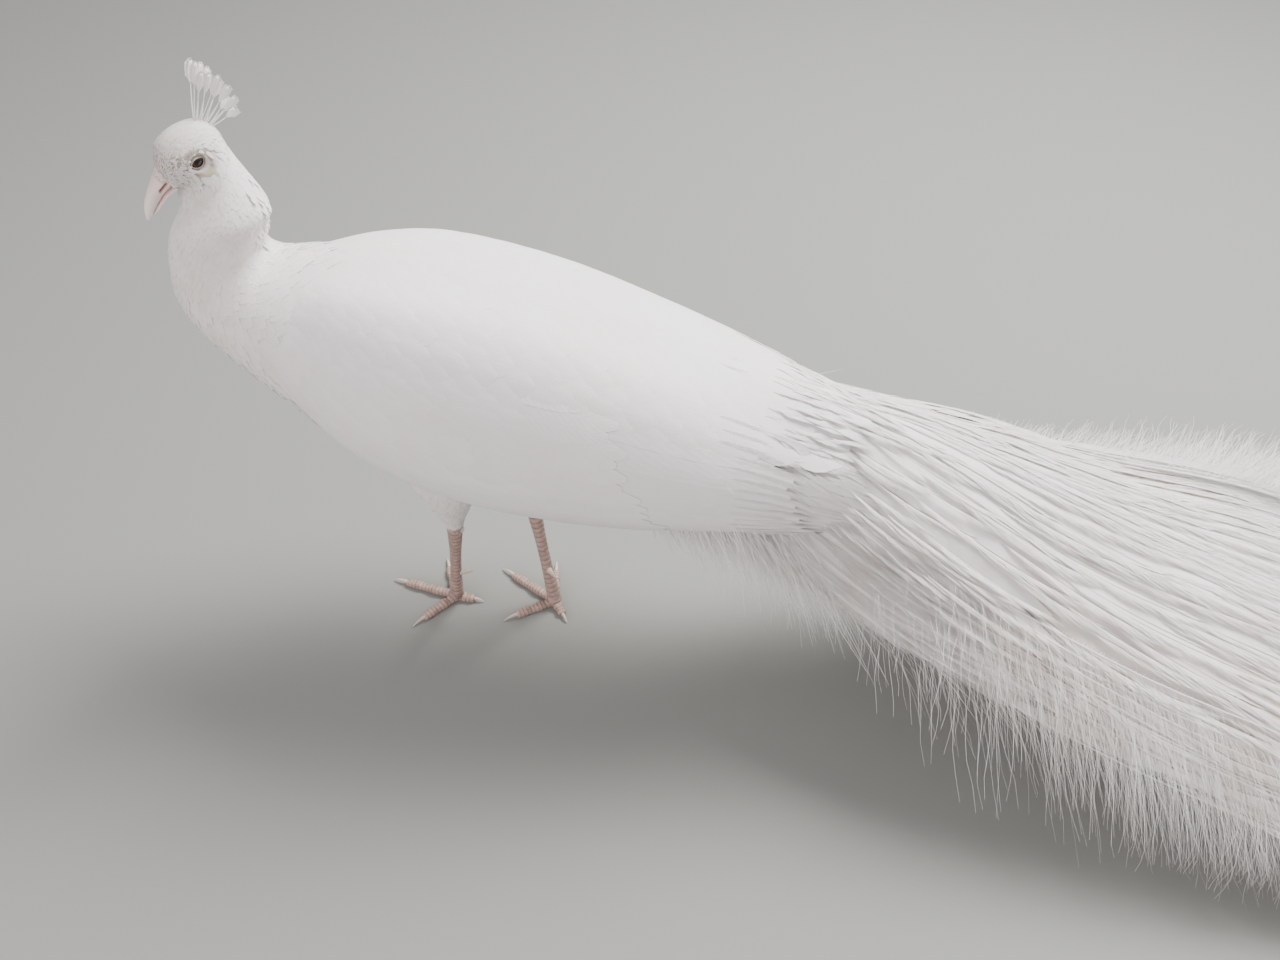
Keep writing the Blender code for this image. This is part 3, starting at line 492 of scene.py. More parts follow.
class Coat:
    """Gathers patches of feathers and barbs, and makes them one mesh."""

    def __init__(self):
        self.points, self.faces, self.vane, self.bake, self.shade = [], [], [], [], []
        self.rims, self.start = [], 0

    def add(self, points, faces, own, bake, shade, rims=False):
        """Adds points with their faces, both maps, the shade, and the points on sharp rims."""
        count = points.size // 3
        self.points.append(points.reshape(-1, 3))
        self.faces += [part + self.start for part in faces]
        self.vane.append(own.reshape(-1, 2))
        self.bake.append(bake.reshape(-1, 2))
        self.shade.append(np.broadcast_to(shade, points.shape[:-1]).reshape(-1))
        self.rims.append(np.broadcast_to(rims, points.shape[:-1]).reshape(-1))
        self.start += count

    def add_vanes(self, vane, place_of, shade):
        """Single-layer vanes with painted shade: a little darker towards the root, where others cover them.
        """
        own, bake = vane_maps(vane, place_of)
        count, long, wide = vane["points"].shape[:3]
        tone = shade[:, None, None] * np.linspace(0.90, 1.0, long)[None, :, None]
        self.add(vane["points"], [patch_faces(count, long, wide)], own, bake, tone)

    def add_closed(self, vane, place_of, shade, thick=0.0003, root_painted_shade=0.95):
        """Vanes with an under side, as thin closed bodies, with painted shade at the root: their shade starts
        at root_painted_shade of its value, where other feathers cover them.
        """
        ring = close_vanes(vane, thick)
        own, bake = vane_maps(vane, place_of)
        own = np.concatenate([own, own[:, :, -2:0:-1]], axis=2)
        bake = np.concatenate([bake, bake[:, :, -2:0:-1]], axis=2)
        count, long, around = ring.shape[:3]
        tone = shade[:, None, None] * np.linspace(root_painted_shade, 1.0, long)[None, :, None]
        rims = np.zeros((1, long, around), bool)
        rims[:, :, [0, vane["points"].shape[2] - 1]] = True
        rims[:, [0, -1]] = True
        self.add(ring, tube_faces(count, long, around), own, bake, tone, rims)

    def add_strips(self, strips, root_uv, shade):
        """Barbs, each a narrow strip that takes its colour at its root's place."""
        count, long, wide = strips.shape[:3]
        s = np.broadcast_to(np.linspace(0, 1, long)[None, :, None], (count, long, wide))
        t = np.broadcast_to(np.linspace(0.4, 0.6, wide)[None, None, :], (count, long, wide))
        own = np.stack([s, t], -1)
        bake = root_uv[:, None, None, :] + UV_PATCH * (own - 0.5)
        self.add(strips, [patch_faces(count, long, wide)], own, bake, shade[:, None, None])

    def make(self, name, material, nodes=()):
        """Makes the mesh, with its faces sorted by their number of corners."""
        sizes = {}
        for part in self.faces:
            sizes.setdefault(part.shape[1], []).append(part)
        faces = [np.concatenate(parts) for parts in sizes.values()]
        maps = {"OFBake": np.concatenate(self.bake), "Vane": np.concatenate(self.vane)}
        values = {"shade": np.concatenate(self.shade)}
        rims = np.concatenate(self.rims)
        points = np.concatenate(self.points)
        add_piece(name, points, faces, material, nodes, maps, values, rims)


# %% Barbs
FLOOR_CLEARANCE = 0.0010
BARB_CURL = 0.2
BARB_GATHER = 0.1
BARB_WIDTH = 0.0007
SHAFT_LIFT = 0.0003
SHAFT_END = 0.96  # share of the feather's length


def strips(roots, directions, normals, bends, lengths, width, long=3):
    """Narrow tapering strips. Each runs along its direction and bends by the square of the way."""
    s = np.linspace(0, 1, long)[None, :, None]
    run = directions[:, None] * s + bends[:, None] * s**2
    spine = roots[:, None] + run * lengths[:, None, None]
    tangent = unit(directions[:, None] + 2 * bends[:, None] * s)
    side = unit(np.cross(normals[:, None], tangent))
    half = 0.5 * width * (1 - 0.85 * s**1.5)
    made = np.stack([spine - side * half, spine + side * half], axis=2)
    made[..., 2] = np.maximum(made[..., 2], FLOOR_CLEARANCE)
    return made


def along_vanes(vane, keys, places):
    """Values of the vanes' arrays at places (share of the length) along each, straight between stations."""
    long = vane["u"].shape[1]
    at = np.clip(places * (long - 1), 0, long - 1.001)
    low = at.astype(int)
    part = at - low
    rows = np.arange(len(at))[:, None]
    found = []
    for key in keys:
        values = vane[key]
        weight = part[..., None] if values.ndim == 3 else part
        found.append(values[rows, low] * (1 - weight) + values[rows, low + 1] * weight)
    return found


def add_barbs(coat, vane, place_of, darkest, per_side, start, length, angle_deg, from_edge, tufts,
              wild=0.03, rough=0.3, above=0.0002, gather=BARB_GATHER, width=BARB_WIDTH):
    """Barbs to both sides of each shaft, slanting to its tip, longest in the middle of their stretch.

    Each shaft's barbs gather in tufts: their tips draw together by a share of the way between their roots.
    """
    count = len(vane["u"])
    places = start + (1 - start) * (np.arange(per_side) + draws.random((count, per_side))) / per_side
    share = (places - start) / (1 - start)
    keys = ("centre", "tangent", "side", "normal", "u", "v", "width")
    centre, tangent, side, normal, u, v, half = along_vanes(vane, keys, places)
    made, uvs = [], []
    for sign in (-1, 1):
        shift = draws.random((count, 1))
        tuft = (np.floor(share * tufts + shift) + 0.5 - shift) / tufts
        middle = along_vanes(vane, ("centre",), start + (1 - start) * np.clip(tuft, 0, 1))[0]
        own = np.random.default_rng(per_side + sign).normal(0, 1, (count, tufts + 2))
        group = np.clip(np.floor(share * tufts + shift), 0, tufts + 1).astype(int)
        lean = rough * own[np.arange(count)[:, None], group]
        angle = np.radians(angle_deg + 5 * lean + draws.normal(0, 60 * wild, places.shape))[..., None]
        rise = (0.05 * rough + 0.05 * lean + draws.normal(0, wild, places.shape))[..., None]
        size = length * (0.45 + 0.55 * np.sin(np.pi * np.clip(share * 0.9 + 0.08, 0, 1)))
        size = size * (1 + 0.10 * lean) * draws.uniform(0.8, 1.15, places.shape)
        way = np.cos(angle) * tangent + np.sin(angle) * side * sign + rise * normal
        way = way + gather * (middle - centre) / size[..., None]
        bend = BARB_CURL * (tangent - side * sign) - (rise + 0.05) * normal
        root = centre + side * sign * (half * from_edge)[..., None] + normal * above
        flat = [array.reshape(-1, 3) for array in (root, way, normal, bend)]
        made.append(strips(*flat, size.ravel(), width))
        uvs.append(np.stack(place_of(u, v), -1).reshape(-1, 2))
    made = np.concatenate(made)
    coat.add_strips(made, np.concatenate(uvs), draws.uniform(darkest, 1.0, len(made)))


def add_shafts(coat, vane, place_of, root_radius, tip_radius, shade):
    """A thin three-sided tube along each feather's centre line."""
    count, long = vane["u"].shape
    places = np.broadcast_to(np.linspace(0, SHAFT_END, long), (count, long))
    centre, side, normal = along_vanes(vane, ("centre", "side", "normal"), places)
    radius = np.linspace(root_radius, tip_radius, long)[None, :, None, None]
    turn = ring_angles(3) + np.pi / 2
    ring = side[:, :, None] * np.cos(turn)[:, None] + normal[:, :, None] * np.sin(turn)[:, None]
    tubes = (centre + normal * SHAFT_LIFT)[:, :, None] + radius * ring
    own = np.full(tubes.shape[:-1] + (2,), 0.5)
    root = np.stack(place_of(vane["u"][:, 0], vane["v"][:, 0]), -1)[:, None, None, :]
    bake = root + UV_PATCH * np.stack(grid(np.linspace(-0.5, 0.5, long), np.linspace(-0.5, 0.5, 3)), -1)
    coat.add(tubes, tube_faces(count, long, 3), own, bake, shade[:, None, None])


# %% [markdown]
# ## Finishes
#
# A white peafowl isn't painted: its feathers hold no dye, and what the eye sees
# is the fine lines of the barbs, the shadow between feathers and a faint cream
# stain. Part of that shadow is painted into the colours here: feathers darken
# towards their covered roots and along the wing's lower edge, the low parts are
# creamier and the train's vanes greyer. Two node groups serve all its finishes:
# a soft mottle of two colours, and the barb lines that follow each vane's own map.

# %% Node groups
def feed(tree, socket, value):
    """Links another node's output to the socket, or sets a plain value on it."""
    if hasattr(value, "links"):
        tree.links.new(value, socket)
    else:
        socket.default_value = value


def new_group(name, inputs, outputs):
    """A node group with named sockets, and the nodes at its two ends."""
    group = bpy.data.node_groups.new(name, "ShaderNodeTree")
    for label, kind, value in inputs:
        socket = group.interface.new_socket(name=label, in_out="INPUT", socket_type="NodeSocket" + kind)
        if value is not None:
            socket.default_value = value
    for label, kind in outputs:
        group.interface.new_socket(name=label, in_out="OUTPUT", socket_type="NodeSocket" + kind)
    return group, group.nodes.new("NodeGroupInput"), group.nodes.new("NodeGroupOutput")


def math_node(tree, operation, *values):
    """One step of arithmetic on one to three values."""
    node = tree.nodes.new("ShaderNodeMath")
    node.operation = operation
    for socket, value in zip(node.inputs, values):
        feed(tree, socket, value)
    return node.outputs[0]


def mix_colours(tree, factor, first, second, kind="MIX"):
    """The first colour turned into the second by a factor, or multiplied by it."""
    node = tree.nodes.new("ShaderNodeMix")
    node.data_type = "RGBA"
    node.blend_type = kind
    for place, value in ((0, factor), (6, first), (7, second)):
        feed(tree, node.inputs[place], value)
    return node.outputs[2]


def mottle_group():
    """Two sizes of soft noise that mix a second colour into the first."""
    group, given, result = new_group(
        "mottle",
        (("Vector", "Vector", None), ("Scale", "Float", 20.0), ("Amount", "Float", 0.5),
         ("Main", "Color", (1, 1, 1, 1)), ("Stain", "Color", (0.8, 0.7, 0.6, 1))),
        (("Color", "Color"), ("Mask", "Float")))
    masks = []
    for factor in (1.0, 6.5):
        noise = group.nodes.new("ShaderNodeTexNoise")
        noise.inputs["Detail"].default_value = 3.0
        group.links.new(given.outputs["Vector"], noise.inputs["Vector"])
        group.links.new(math_node(group, "MULTIPLY", given.outputs["Scale"], factor), noise.inputs["Scale"])
        masks.append(noise.outputs["Fac"])
    total = math_node(group, "MULTIPLY", masks[0], masks[1])
    wide = group.nodes.new("ShaderNodeMapRange")
    wide.inputs["From Min"].default_value = 0.16
    wide.inputs["From Max"].default_value = 0.40
    group.links.new(total, wide.inputs["Value"])
    amount = math_node(group, "MULTIPLY", wide.outputs["Result"], given.outputs["Amount"])
    colour = mix_colours(group, amount, given.outputs["Main"], given.outputs["Stain"])
    group.links.new(colour, result.inputs["Color"])
    group.links.new(amount, result.inputs["Mask"])
    return group


def barb_group():
    """Fine ridges that leave the shaft to both sides and slant towards the tip, with a raised shaft."""
    group, given, result = new_group(
        "barb_lines", (("Lines", "Float", 60.0), ("Slant", "Float", 12.0)), (("Height", "Float"),))
    own = group.nodes.new("ShaderNodeUVMap")
    own.uv_map = "Vane"
    parts = group.nodes.new("ShaderNodeSeparateXYZ")
    group.links.new(own.outputs["UV"], parts.inputs["Vector"])
    aside = math_node(group, "ABSOLUTE", math_node(group, "SUBTRACT", parts.outputs["Y"], 0.5))
    phase = math_node(group, "MULTIPLY", parts.outputs["X"], given.outputs["Lines"])
    slant = math_node(group, "MULTIPLY", aside, given.outputs["Slant"])
    lines = math_node(group, "SUBTRACT", phase, slant)
    wave = math_node(group, "SINE", math_node(group, "MULTIPLY", lines, 6.283))
    shaft = math_node(group, "LESS_THAN", aside, 0.03)
    height = math_node(group, "ADD", math_node(group, "MULTIPLY", wave, 0.25), shaft)
    group.links.new(height, result.inputs["Height"])
    return group


MOTTLE = mottle_group()
BARB_LINES = barb_group()


def new_material(name, roughness, specular=0.5, sheen=0.0):
    """A material and its shader, with plain values on the shader's sockets."""
    material = bpy.data.materials.new(name)
    material.use_nodes = True
    shader = material.node_tree.nodes["Principled BSDF"]
    shader.inputs["Roughness"].default_value = roughness
    shader.inputs["Specular IOR Level"].default_value = specular
    shader.inputs["Sheen Weight"].default_value = sheen
    return material, material.node_tree, shader


def object_coordinates(tree):
    """Places on the bird, as its meshes hold them."""
    return tree.nodes.new("ShaderNodeTexCoord").outputs["Object"]


def place_group(tree, group, **values):
    """A node group in a material, with this material's own values."""
    node = tree.nodes.new("ShaderNodeGroup")
    node.node_tree = group
    for label, value in values.items():
        feed(tree, node.inputs[label], value)
    return node


def attribute_value(tree, name):
    """A mesh's own value by point."""
    node = tree.nodes.new("ShaderNodeAttribute")
    node.attribute_name = name
    return node.outputs["Fac"]


def add_bump(tree, shader, height, distance, strength=1.0):
    """Shades the surface as if it had this height."""
    bump = tree.nodes.new("ShaderNodeBump")
    bump.inputs["Distance"].default_value = distance
    bump.inputs["Strength"].default_value = strength
    tree.links.new(height, bump.inputs["Height"])
    tree.links.new(bump.outputs["Normal"], shader.inputs["Normal"])


def noise_height(tree, scale, detail=4.0):
    """A fine noise on the bird's surface."""
    noise = tree.nodes.new("ShaderNodeTexNoise")
    noise.inputs["Scale"].default_value = scale
    noise.inputs["Detail"].default_value = detail
    tree.links.new(object_coordinates(tree), noise.inputs["Vector"])
    return noise.outputs["Fac"]


# %% Feather finish
WHITE = (0.90, 0.885, 0.875, 1)
CREAM = (0.80, 0.74, 0.69, 1)
# The greyer cream of the train's vanes and of the true tail is painted shade, of vanes that lie under the
# barbs and under the train.
TRAIN_VANE_PAINTED_SHADE = (0.80, 0.75, 0.72, 1)
CREAM_NECK_X = (-0.70, -0.84)  # forward of these places the feathers are creamier
# Below these heights the creamier colour is painted warm shade of the bird's lower parts.
PAINTED_SHADE_BELOW_Z = (0.34, 0.22)  # and below these heights
CREAM_MORE = 0.55


def ramp_between(tree, value, none, full):
    """0 where the value is at none, 1 at full, and straight between them."""
    node = tree.nodes.new("ShaderNodeMapRange")
    node.inputs["From Min"].default_value = none
    node.inputs["From Max"].default_value = full
    tree.links.new(value, node.inputs["Value"])
    return node.outputs["Result"]


def feather_material(name, lines, slant, stain, main=WHITE):
    """White with a faint cream stain, creamier on the neck and, as painted warm shade, low down; darker by
    each feather's shade value, its own random tone with painted shade towards covered roots; and lined by its
    barbs.
    """
    material, tree, shader = new_material(name, 0.72, 0.25, 0.12)
    place = object_coordinates(tree)
    parts = tree.nodes.new("ShaderNodeSeparateXYZ")
    tree.links.new(place, parts.inputs["Vector"])
    cream_and_painted_shade = math_node(tree, "MAXIMUM", ramp_between(tree, parts.outputs["X"], *CREAM_NECK_X),
                       ramp_between(tree, parts.outputs["Z"], *PAINTED_SHADE_BELOW_Z))
    amount = math_node(tree, "MULTIPLY_ADD", cream_and_painted_shade, CREAM_MORE, stain)
    mottle = place_group(tree, MOTTLE, Vector=place, Scale=9.0, Amount=amount, Main=main, Stain=CREAM)
    shade = attribute_value(tree, "shade")
    colour = mix_colours(tree, 1.0, mottle.outputs["Color"], shade, "MULTIPLY")
    tree.links.new(colour, shader.inputs["Base Color"])
    barbs = place_group(tree, BARB_LINES, Lines=lines, Slant=slant)
    add_bump(tree, shader, barbs.outputs["Height"], 0.0003, 0.35)
    return material


BODY_FEATHERS = feather_material("body_feathers", 16.0, 5.0, 0.22)
LARGE_FEATHERS = feather_material("large_feathers", 70.0, 14.0, 0.35, TRAIN_VANE_PAINTED_SHADE)
BARB_FINISH = feather_material("loose_barbs", 1.0, 0.0, 0.20)

# %% [markdown]
# ## Skin
#
# Under the coat lies one skin from the tail's root to the bill, so that no seam
# shows wherever the feathers part. It lies as deep below the outline as the
# coat is thick. It is one closed surface, finer at the head, where it also gets
# the hollows of the eyes, the brows and the line of the mouth. The two
# feathered legs belong to it.

# %% Skin shape
EYE_RADIUS = 0.0085
EYE_OUT = 0.0128
EYE_TALL = 0.92
GAPE = np.array(((0.0075, -0.0172), (0.0125, -0.0172), (0.0175, -0.0167), (0.0235, -0.0155),
                 (0.0320, -0.0130)))
HEAD_HUMPS = (  # height, middle and size of brow, cheek and the hollow before the eye
    (0.0012, (0.002, 0.0110), (0.010, 0.0035)),
    (0.0010, (-0.002, -0.0115), (0.009, 0.003)),
    (-0.0011, (0.020, -0.003), (0.007, 0.006)),
)
LEGS = {
    "left": {"hip": (-0.040, -0.058), "hock": (-0.052, -0.022, 0.150), "foot": (-0.072, -0.008)},
    "right": {"hip": (-0.005, 0.056), "hock": (0.026, 0.028, 0.148), "foot": (0.050, 0.004)},
}
LEG_TOP = 0.330
LEG_END_RISE = 0.010
LEG_SECTIONS = (
    (0.00, 0.052, 0.030),
    (0.25, 0.048, 0.030),
    (0.50, 0.036, 0.026),
    (0.72, 0.023, 0.019),
    (0.88, 0.0135, 0.0122),
    (1.00, 0.0088, 0.0084),
)


def coat_depth(u):
    """How far the skin lies under the outline, from rump to bill."""
    return np.interp(-u, (0, 8, 10.5, 12, 13.5, LAST_PLACE), (0.0045, 0.0035, 0.0020, 0.0012, 0.0005, 0.0))


def path_distance(path, x, y):
    """Distance from points (x, y) to a path of straight pieces."""
    best = np.full(np.shape(x), 1.0)
    for a, b in zip(path[:-1], path[1:]):
        run = b - a
        t = np.clip(((x - a[0]) * run[0] + (y - a[1]) * run[1]) / (run @ run), 0, 1)
        best = np.minimum(best, np.hypot(x - a[0] - t * run[0], y - a[1] - t * run[1]))
    return best


def hump(u, v, middle, size):
    """A bell-shaped rise of height 1 round a middle, by the square of the distance in sizes."""
    return np.exp(-(((u - middle[0]) / size[0]) ** 2) - ((v - middle[1]) / size[1]) ** 2)


def shape_head(points):
    """Pulls in the eye sockets and the mouth's line, and raises brow and cheek."""
    u, v, out = to_head(points)
    side, depth = np.sign(out), np.abs(out)
    on_side = smoothstep(0.004, 0.010, depth)
    rise = sum(height * hump(u, v, middle, size) for height, middle, size in HEAD_HUMPS)
    rise -= 0.0013 * np.exp(-(path_distance(GAPE, u, v) / 0.0009) ** 2)
    depth = depth + rise * on_side
    round_eye = np.hypot(u, v / EYE_TALL)
    depth = np.where(depth > 0.008, depth + (0.0085 - depth) * smoothstep(0.0080, 0.0062, round_eye), depth)
    return from_head(u, v, side * depth)


def leg_sheet_of(word):
    """The feathered leg: u from the hip (0) down to the hock (1), v the angle round it."""
    hip, hock = LEGS[word]["hip"], np.array(LEGS[word]["hock"])
    start = np.array([hip[0], hip[1], LEG_TOP])
    end = hock + (0, 0, LEG_END_RISE)
    shares, half_length, half_width = np.array(LEG_SECTIONS).T

    def sheet(u, v, height):
        middle = start + (end - start) * np.asarray(u)[..., None]
        x = (np.interp(u, shares, half_length) + height) * np.cos(v)
        y = (np.interp(u, shares, half_width) + height) * np.sin(v)
        return middle + np.stack(np.broadcast_arrays(x, y, 0.0), -1)

    return sheet


def skin_parts():
    """Tubes of the body with the head, and of both legs."""
    neck_end = len(BODY_ROWS) - 0.5
    body_places = np.linspace(0.0, neck_end, 130)
    head_places = np.linspace(neck_end, LAST_PLACE, 150)[1:]
    u, v = grid(-np.concatenate([body_places, head_places]), ring_angles(144))
    body = body_sheet(u, v, -coat_depth(u))
    head = -u > len(BODY_ROWS)
    parts = [np.where(head[..., None], shape_head(body), body)]
    for word in LEGS:
        u, v = grid(np.linspace(0.05, 1.0, 40), ring_angles(40))
        depth = np.interp(u, (0, 0.9, 1), (0.004, 0.0015, 0.0008))
        parts.append(leg_sheet_of(word)(u, v, -depth))
    return parts


# %% Skin finish and mesh
FACE_PALE = (0.46, 0.40, 0.36, 1)
SKIN_GREY = (0.17, 0.13, 0.11, 1)
SKIN_YELLOW = (0.72, 0.68, 0.42, 1)
MOUTH_BROWN = (0.16, 0.10, 0.09, 1)
GRAIN_SCALE = 330.0


def face_mask(points):
    """1 on the bare skin of the face, round the eye and before it, and 0 under the feathers."""
    u, v, out = to_head(points)
    lores = hump(u, v, (0.0180, 0.007), (0.0155, 0.0190))
    round_eye = np.exp(-((np.hypot(u, v) - 0.0112) / 0.0045) ** 2) * (np.abs(out) > 0.008)
    return np.clip(np.maximum(lores * 1.6 - 0.25, round_eye), 0, 1)


def mottled(tree, scale, amount, main, stain):
    """The colour of a mottle: how fine and how strong its spots are, and its two colours."""
    node = place_group(tree, MOTTLE, Vector=object_coordinates(tree), Scale=scale, Amount=amount,
                       Main=main, Stain=stain)
    return node.outputs["Color"]


def skin_material():
    """White skin. On the face it shows grey between pale grains, with a yellow tint under the eye."""
    material, tree, shader = new_material("skin", 0.60, 0.35)
    place = object_coordinates(tree)
    plain = place_group(tree, MOTTLE, Vector=place, Scale=30.0, Amount=0.3, Main=WHITE, Stain=CREAM)
    grains = place_group(tree, MOTTLE, Vector=place, Scale=GRAIN_SCALE, Amount=1.0,
                         Main=FACE_PALE, Stain=SKIN_GREY)
    colour = mix_colours(tree, attribute_value(tree, "face"), plain.outputs["Color"], grains.outputs["Color"])
    colour = mix_colours(tree, attribute_value(tree, "under_eye"), colour, SKIN_YELLOW)
    colour = mix_colours(tree, attribute_value(tree, "crease"), colour, MOUTH_BROWN)
    tree.links.new(colour, shader.inputs["Base Color"])
    add_bump(tree, shader, noise_height(tree, 900.0), 0.0004, 0.7)
    return material


SKIN = skin_material()
skin_points, skin_faces = join_tubes(skin_parts())
head_u, head_v, head_out = to_head(skin_points)
on_face = (np.abs(head_out) > 0.006) & (head_u > -0.03) & (head_u < 0.04)
add_piece(
    "skin", skin_points, skin_faces, SKIN, ("torso", "neck", "head", "leg_left", "leg_right"),
    values={
        "face": face_mask(skin_points),
        "under_eye": 0.60 * hump(head_u, head_v, (-0.002, -0.0110), (0.007, 0.0026)) * on_face,
        "crease": 0.85 * np.exp(-(path_distance(GAPE, head_u, head_v) / 0.0007) ** 2) * on_face,
    })


def add_slab(name, outer, inner):
    """A closed layer of plain skin under the feathers, between an outer and an inner sheet of points."""
    points, faces = join_tubes([np.concatenate([outer, inner[:, ::-1]], axis=1)])
    plain = np.zeros(len(points))
    values = {"face": plain, "under_eye": plain, "crease": plain}
    add_piece(name, points, faces, SKIN, values=values)


# %% [markdown]
# ## Eyes and lids
#
# Each eye is a dark brown ball as deep in the head as the real one, with a
# black pupil and a clear wet front. Two lids close round it to a lens-shaped
# opening: a ring of skin that starts on the ball and runs out into the face.

# %% Eyes
PUPIL = (0.004, 0.003, 0.003, 1)
EYE_RINGS = (  # share of the ball's radius and colour: pupil, iris, its dark rim, the skin round it
    (0.0, PUPIL),
    (0.34, PUPIL),
    (0.38, (0.050, 0.020, 0.012, 1)),
    (0.54, (0.075, 0.032, 0.020, 1)),
    (0.66, (0.020, 0.010, 0.008, 1)),
    (0.75, (0.25, 0.20, 0.17, 1)),
)


def eye_material():
    """Rings round the eye's own axis: pupil, brown iris, dark rim, all under a clear coat."""
    material, tree, shader = new_material("eyeball", 0.22, 0.3)
    shader.inputs["Coat Weight"].default_value = 0.35
    shader.inputs["Coat Roughness"].default_value = 0.05
    ramp = tree.nodes.new("ShaderNodeValToRGB")
    tree.links.new(attribute_value(tree, "from_axis"), ramp.inputs["Fac"])
    first, last = ramp.color_ramp.elements
    first.position, first.color = EYE_RINGS[0]
    last.position, last.color = EYE_RINGS[-1]
    for position, colour in EYE_RINGS[1:-1]:
        ramp.color_ramp.elements.new(position).color = colour
    tree.links.new(ramp.outputs["Color"], shader.inputs["Base Color"])
    return material


EYEBALL = eye_material()
for side, word in HEAD_SIDES:
    polar, turn = np.linspace(0.02, np.pi - 0.02, 40)[:, None], ring_angles(48)
    ring = EYE_RADIUS * np.sin(polar)
    eye = from_head(ring * np.cos(turn), ring * np.sin(turn), side * (EYE_OUT + EYE_RADIUS * np.cos(polar)))
    points, faces = join_tubes([eye])
    local = to_head(points)
    from_axis = np.linalg.norm(local[:2], axis=0) / EYE_RADIUS
    behind = np.abs(local[2]) < EYE_OUT
    add_piece("eyeball_" + word, points, faces, EYEBALL, ("eye_" + word,),
              values={"from_axis": np.where(behind, 1.0, from_axis)})

# %% Lids
LID_OUTER = 0.0088
OPENING_LONG = 0.0057
OPENING_TALL = 0.0042
LID_PALE = (0.62, 0.57, 0.49, 1)
LID_GREY = (0.36, 0.32, 0.26, 1)
WET_RIM = (0.34, 0.28, 0.24, 1)


def lid_points(side):
    """A ring: from behind the opening's edge, over a rounded rim, out to the face."""
    way, turn = np.linspace(0, 1, 15)[:, None], ring_angles(72)
    open_u = OPENING_LONG * np.cos(turn)
    open_v = OPENING_TALL * np.sin(turn) * (1 - 0.18 * np.cos(turn) ** 2)
    outer_u, outer_v = LID_OUTER * np.cos(turn), LID_OUTER * EYE_TALL * np.sin(turn)
    spread = smoothstep(0.0, 1.0, way)
    u, v = open_u + (outer_u - open_u) * spread, open_v + (outer_v - open_v) * spread
    from_eye = np.minimum(np.hypot(u, v), EYE_RADIUS)
    ball = EYE_OUT + np.sqrt(np.maximum((EYE_RADIUS + 0.0003) ** 2 - from_eye**2, 0))
    rim = 0.0010 * np.sin(np.pi * np.clip(way * 2.6 + 0.12, 0, 1)) + 0.0003 * np.cos(way * 19.0) * (way > 0.2)
    face = 0.0196 - 0.0012 * way
    out = ball * (1 - smoothstep(0.25, 0.8, way)) + face * smoothstep(0.25, 0.8, way) + rim
    return from_head(u, v, side * out)


def lid_material():
    """Grey-white wrinkled skin, darker towards the wet rim."""
    material, tree, shader = new_material("lid_skin", 0.5, 0.4)
    pale = mottled(tree, 200.0, 0.7, LID_PALE, LID_GREY)
    colour = mix_colours(tree, attribute_value(tree, "rim"), pale, WET_RIM)
    tree.links.new(colour, shader.inputs["Base Color"])
    add_bump(tree, shader, noise_height(tree, 1200.0), 0.0003, 0.6)
    return material


LID_SKIN = lid_material()
for side, word in HEAD_SIDES:
    lids = lid_points(side)
    if side > 0:
        lids = lids[:, ::-1]
    rim = np.broadcast_to(smoothstep(0.22, 0.05, np.linspace(0, 1, 15))[:, None], lids.shape[:2])
    add_piece("lids_" + word, lids, [patch_faces(1, *lids.shape[:2], closed=True)], LID_SKIN,
              values={"rim": rim})

# %% [markdown]
# ## Bill
#
# The bill is two horn halves that close on each other. The upper one hooks over
# the lower at the tip, and its long slit of a nostril opens in a soft swelling
# at the base. It is pale pink, paler to the tip and red inside the nostril.

# %% Bill shape
BILL_UPPER = (
    (0.0300, 0.0082, 0.0290, -0.0128, 0.0106),
    (0.0400, 0.0010, 0.0385, -0.0142, 0.0086),
    (0.0490, -0.0048, 0.0470, -0.0178, 0.0066),
    (0.0570, -0.0112, 0.0545, -0.0218, 0.0048),
    (0.0630, -0.0182, 0.0610, -0.0258, 0.0032),
    (0.0668, -0.0262, 0.0655, -0.0280, 0.0010),
)
BILL_LOWER = (
    (0.0280, -0.0130, 0.0285, -0.0176, 0.0098),
    (0.0385, -0.0143, 0.0378, -0.0182, 0.0078),
    (0.0465, -0.0180, 0.0452, -0.0211, 0.0058),
    (0.0535, -0.0221, 0.0522, -0.0245, 0.0038),
    (0.0585, -0.0256, 0.0578, -0.0269, 0.0016),
)
NOSTRIL = np.array(((0.0325, -0.0046), (0.0405, -0.0076)))
BILL_SQUARENESS = 0.85
BILL_PINK = (0.82, 0.63, 0.60, 1)
BILL_PALE = (0.88, 0.77, 0.73, 1)
BILL_TIP = (0.90, 0.83, 0.78, 1)
NOSTRIL_RED = (0.24, 0.06, 0.05, 1)
BASE_PALE = (0.80, 0.71, 0.67, 1)
BASE_GREY = (0.40, 0.30, 0.27, 1)


def bill_half(rows, nostril):
    """Sections like rounded triangles along smooth rows, with the nostril's slit pressed in."""
    row = smooth_rows(rows, np.linspace(0, len(rows) - 1, 90))
    turn = ring_angles(96)
    wide = np.sign(np.sin(turn)) * np.abs(np.sin(turn)) ** BILL_SQUARENESS
    u = (row[:, 0] + row[:, 2])[:, None] / 2 + (row[:, 0] - row[:, 2])[:, None] / 2 * np.cos(turn)
    v = (row[:, 1] + row[:, 3])[:, None] / 2 + (row[:, 1] - row[:, 3])[:, None] / 2 * np.cos(turn)
    out = row[:, 4][:, None] * wide[None, :]
    if nostril:
        away = path_distance(NOSTRIL, u, v)
        press = 0.0026 * np.exp(-(away / 0.0014) ** 2) - 0.0006 * np.exp(-((away - 0.0028) / 0.0011) ** 2)
        out = out - np.sign(out) * press * smoothstep(0.002, 0.005, np.abs(out))
    return from_head(u, v, out)


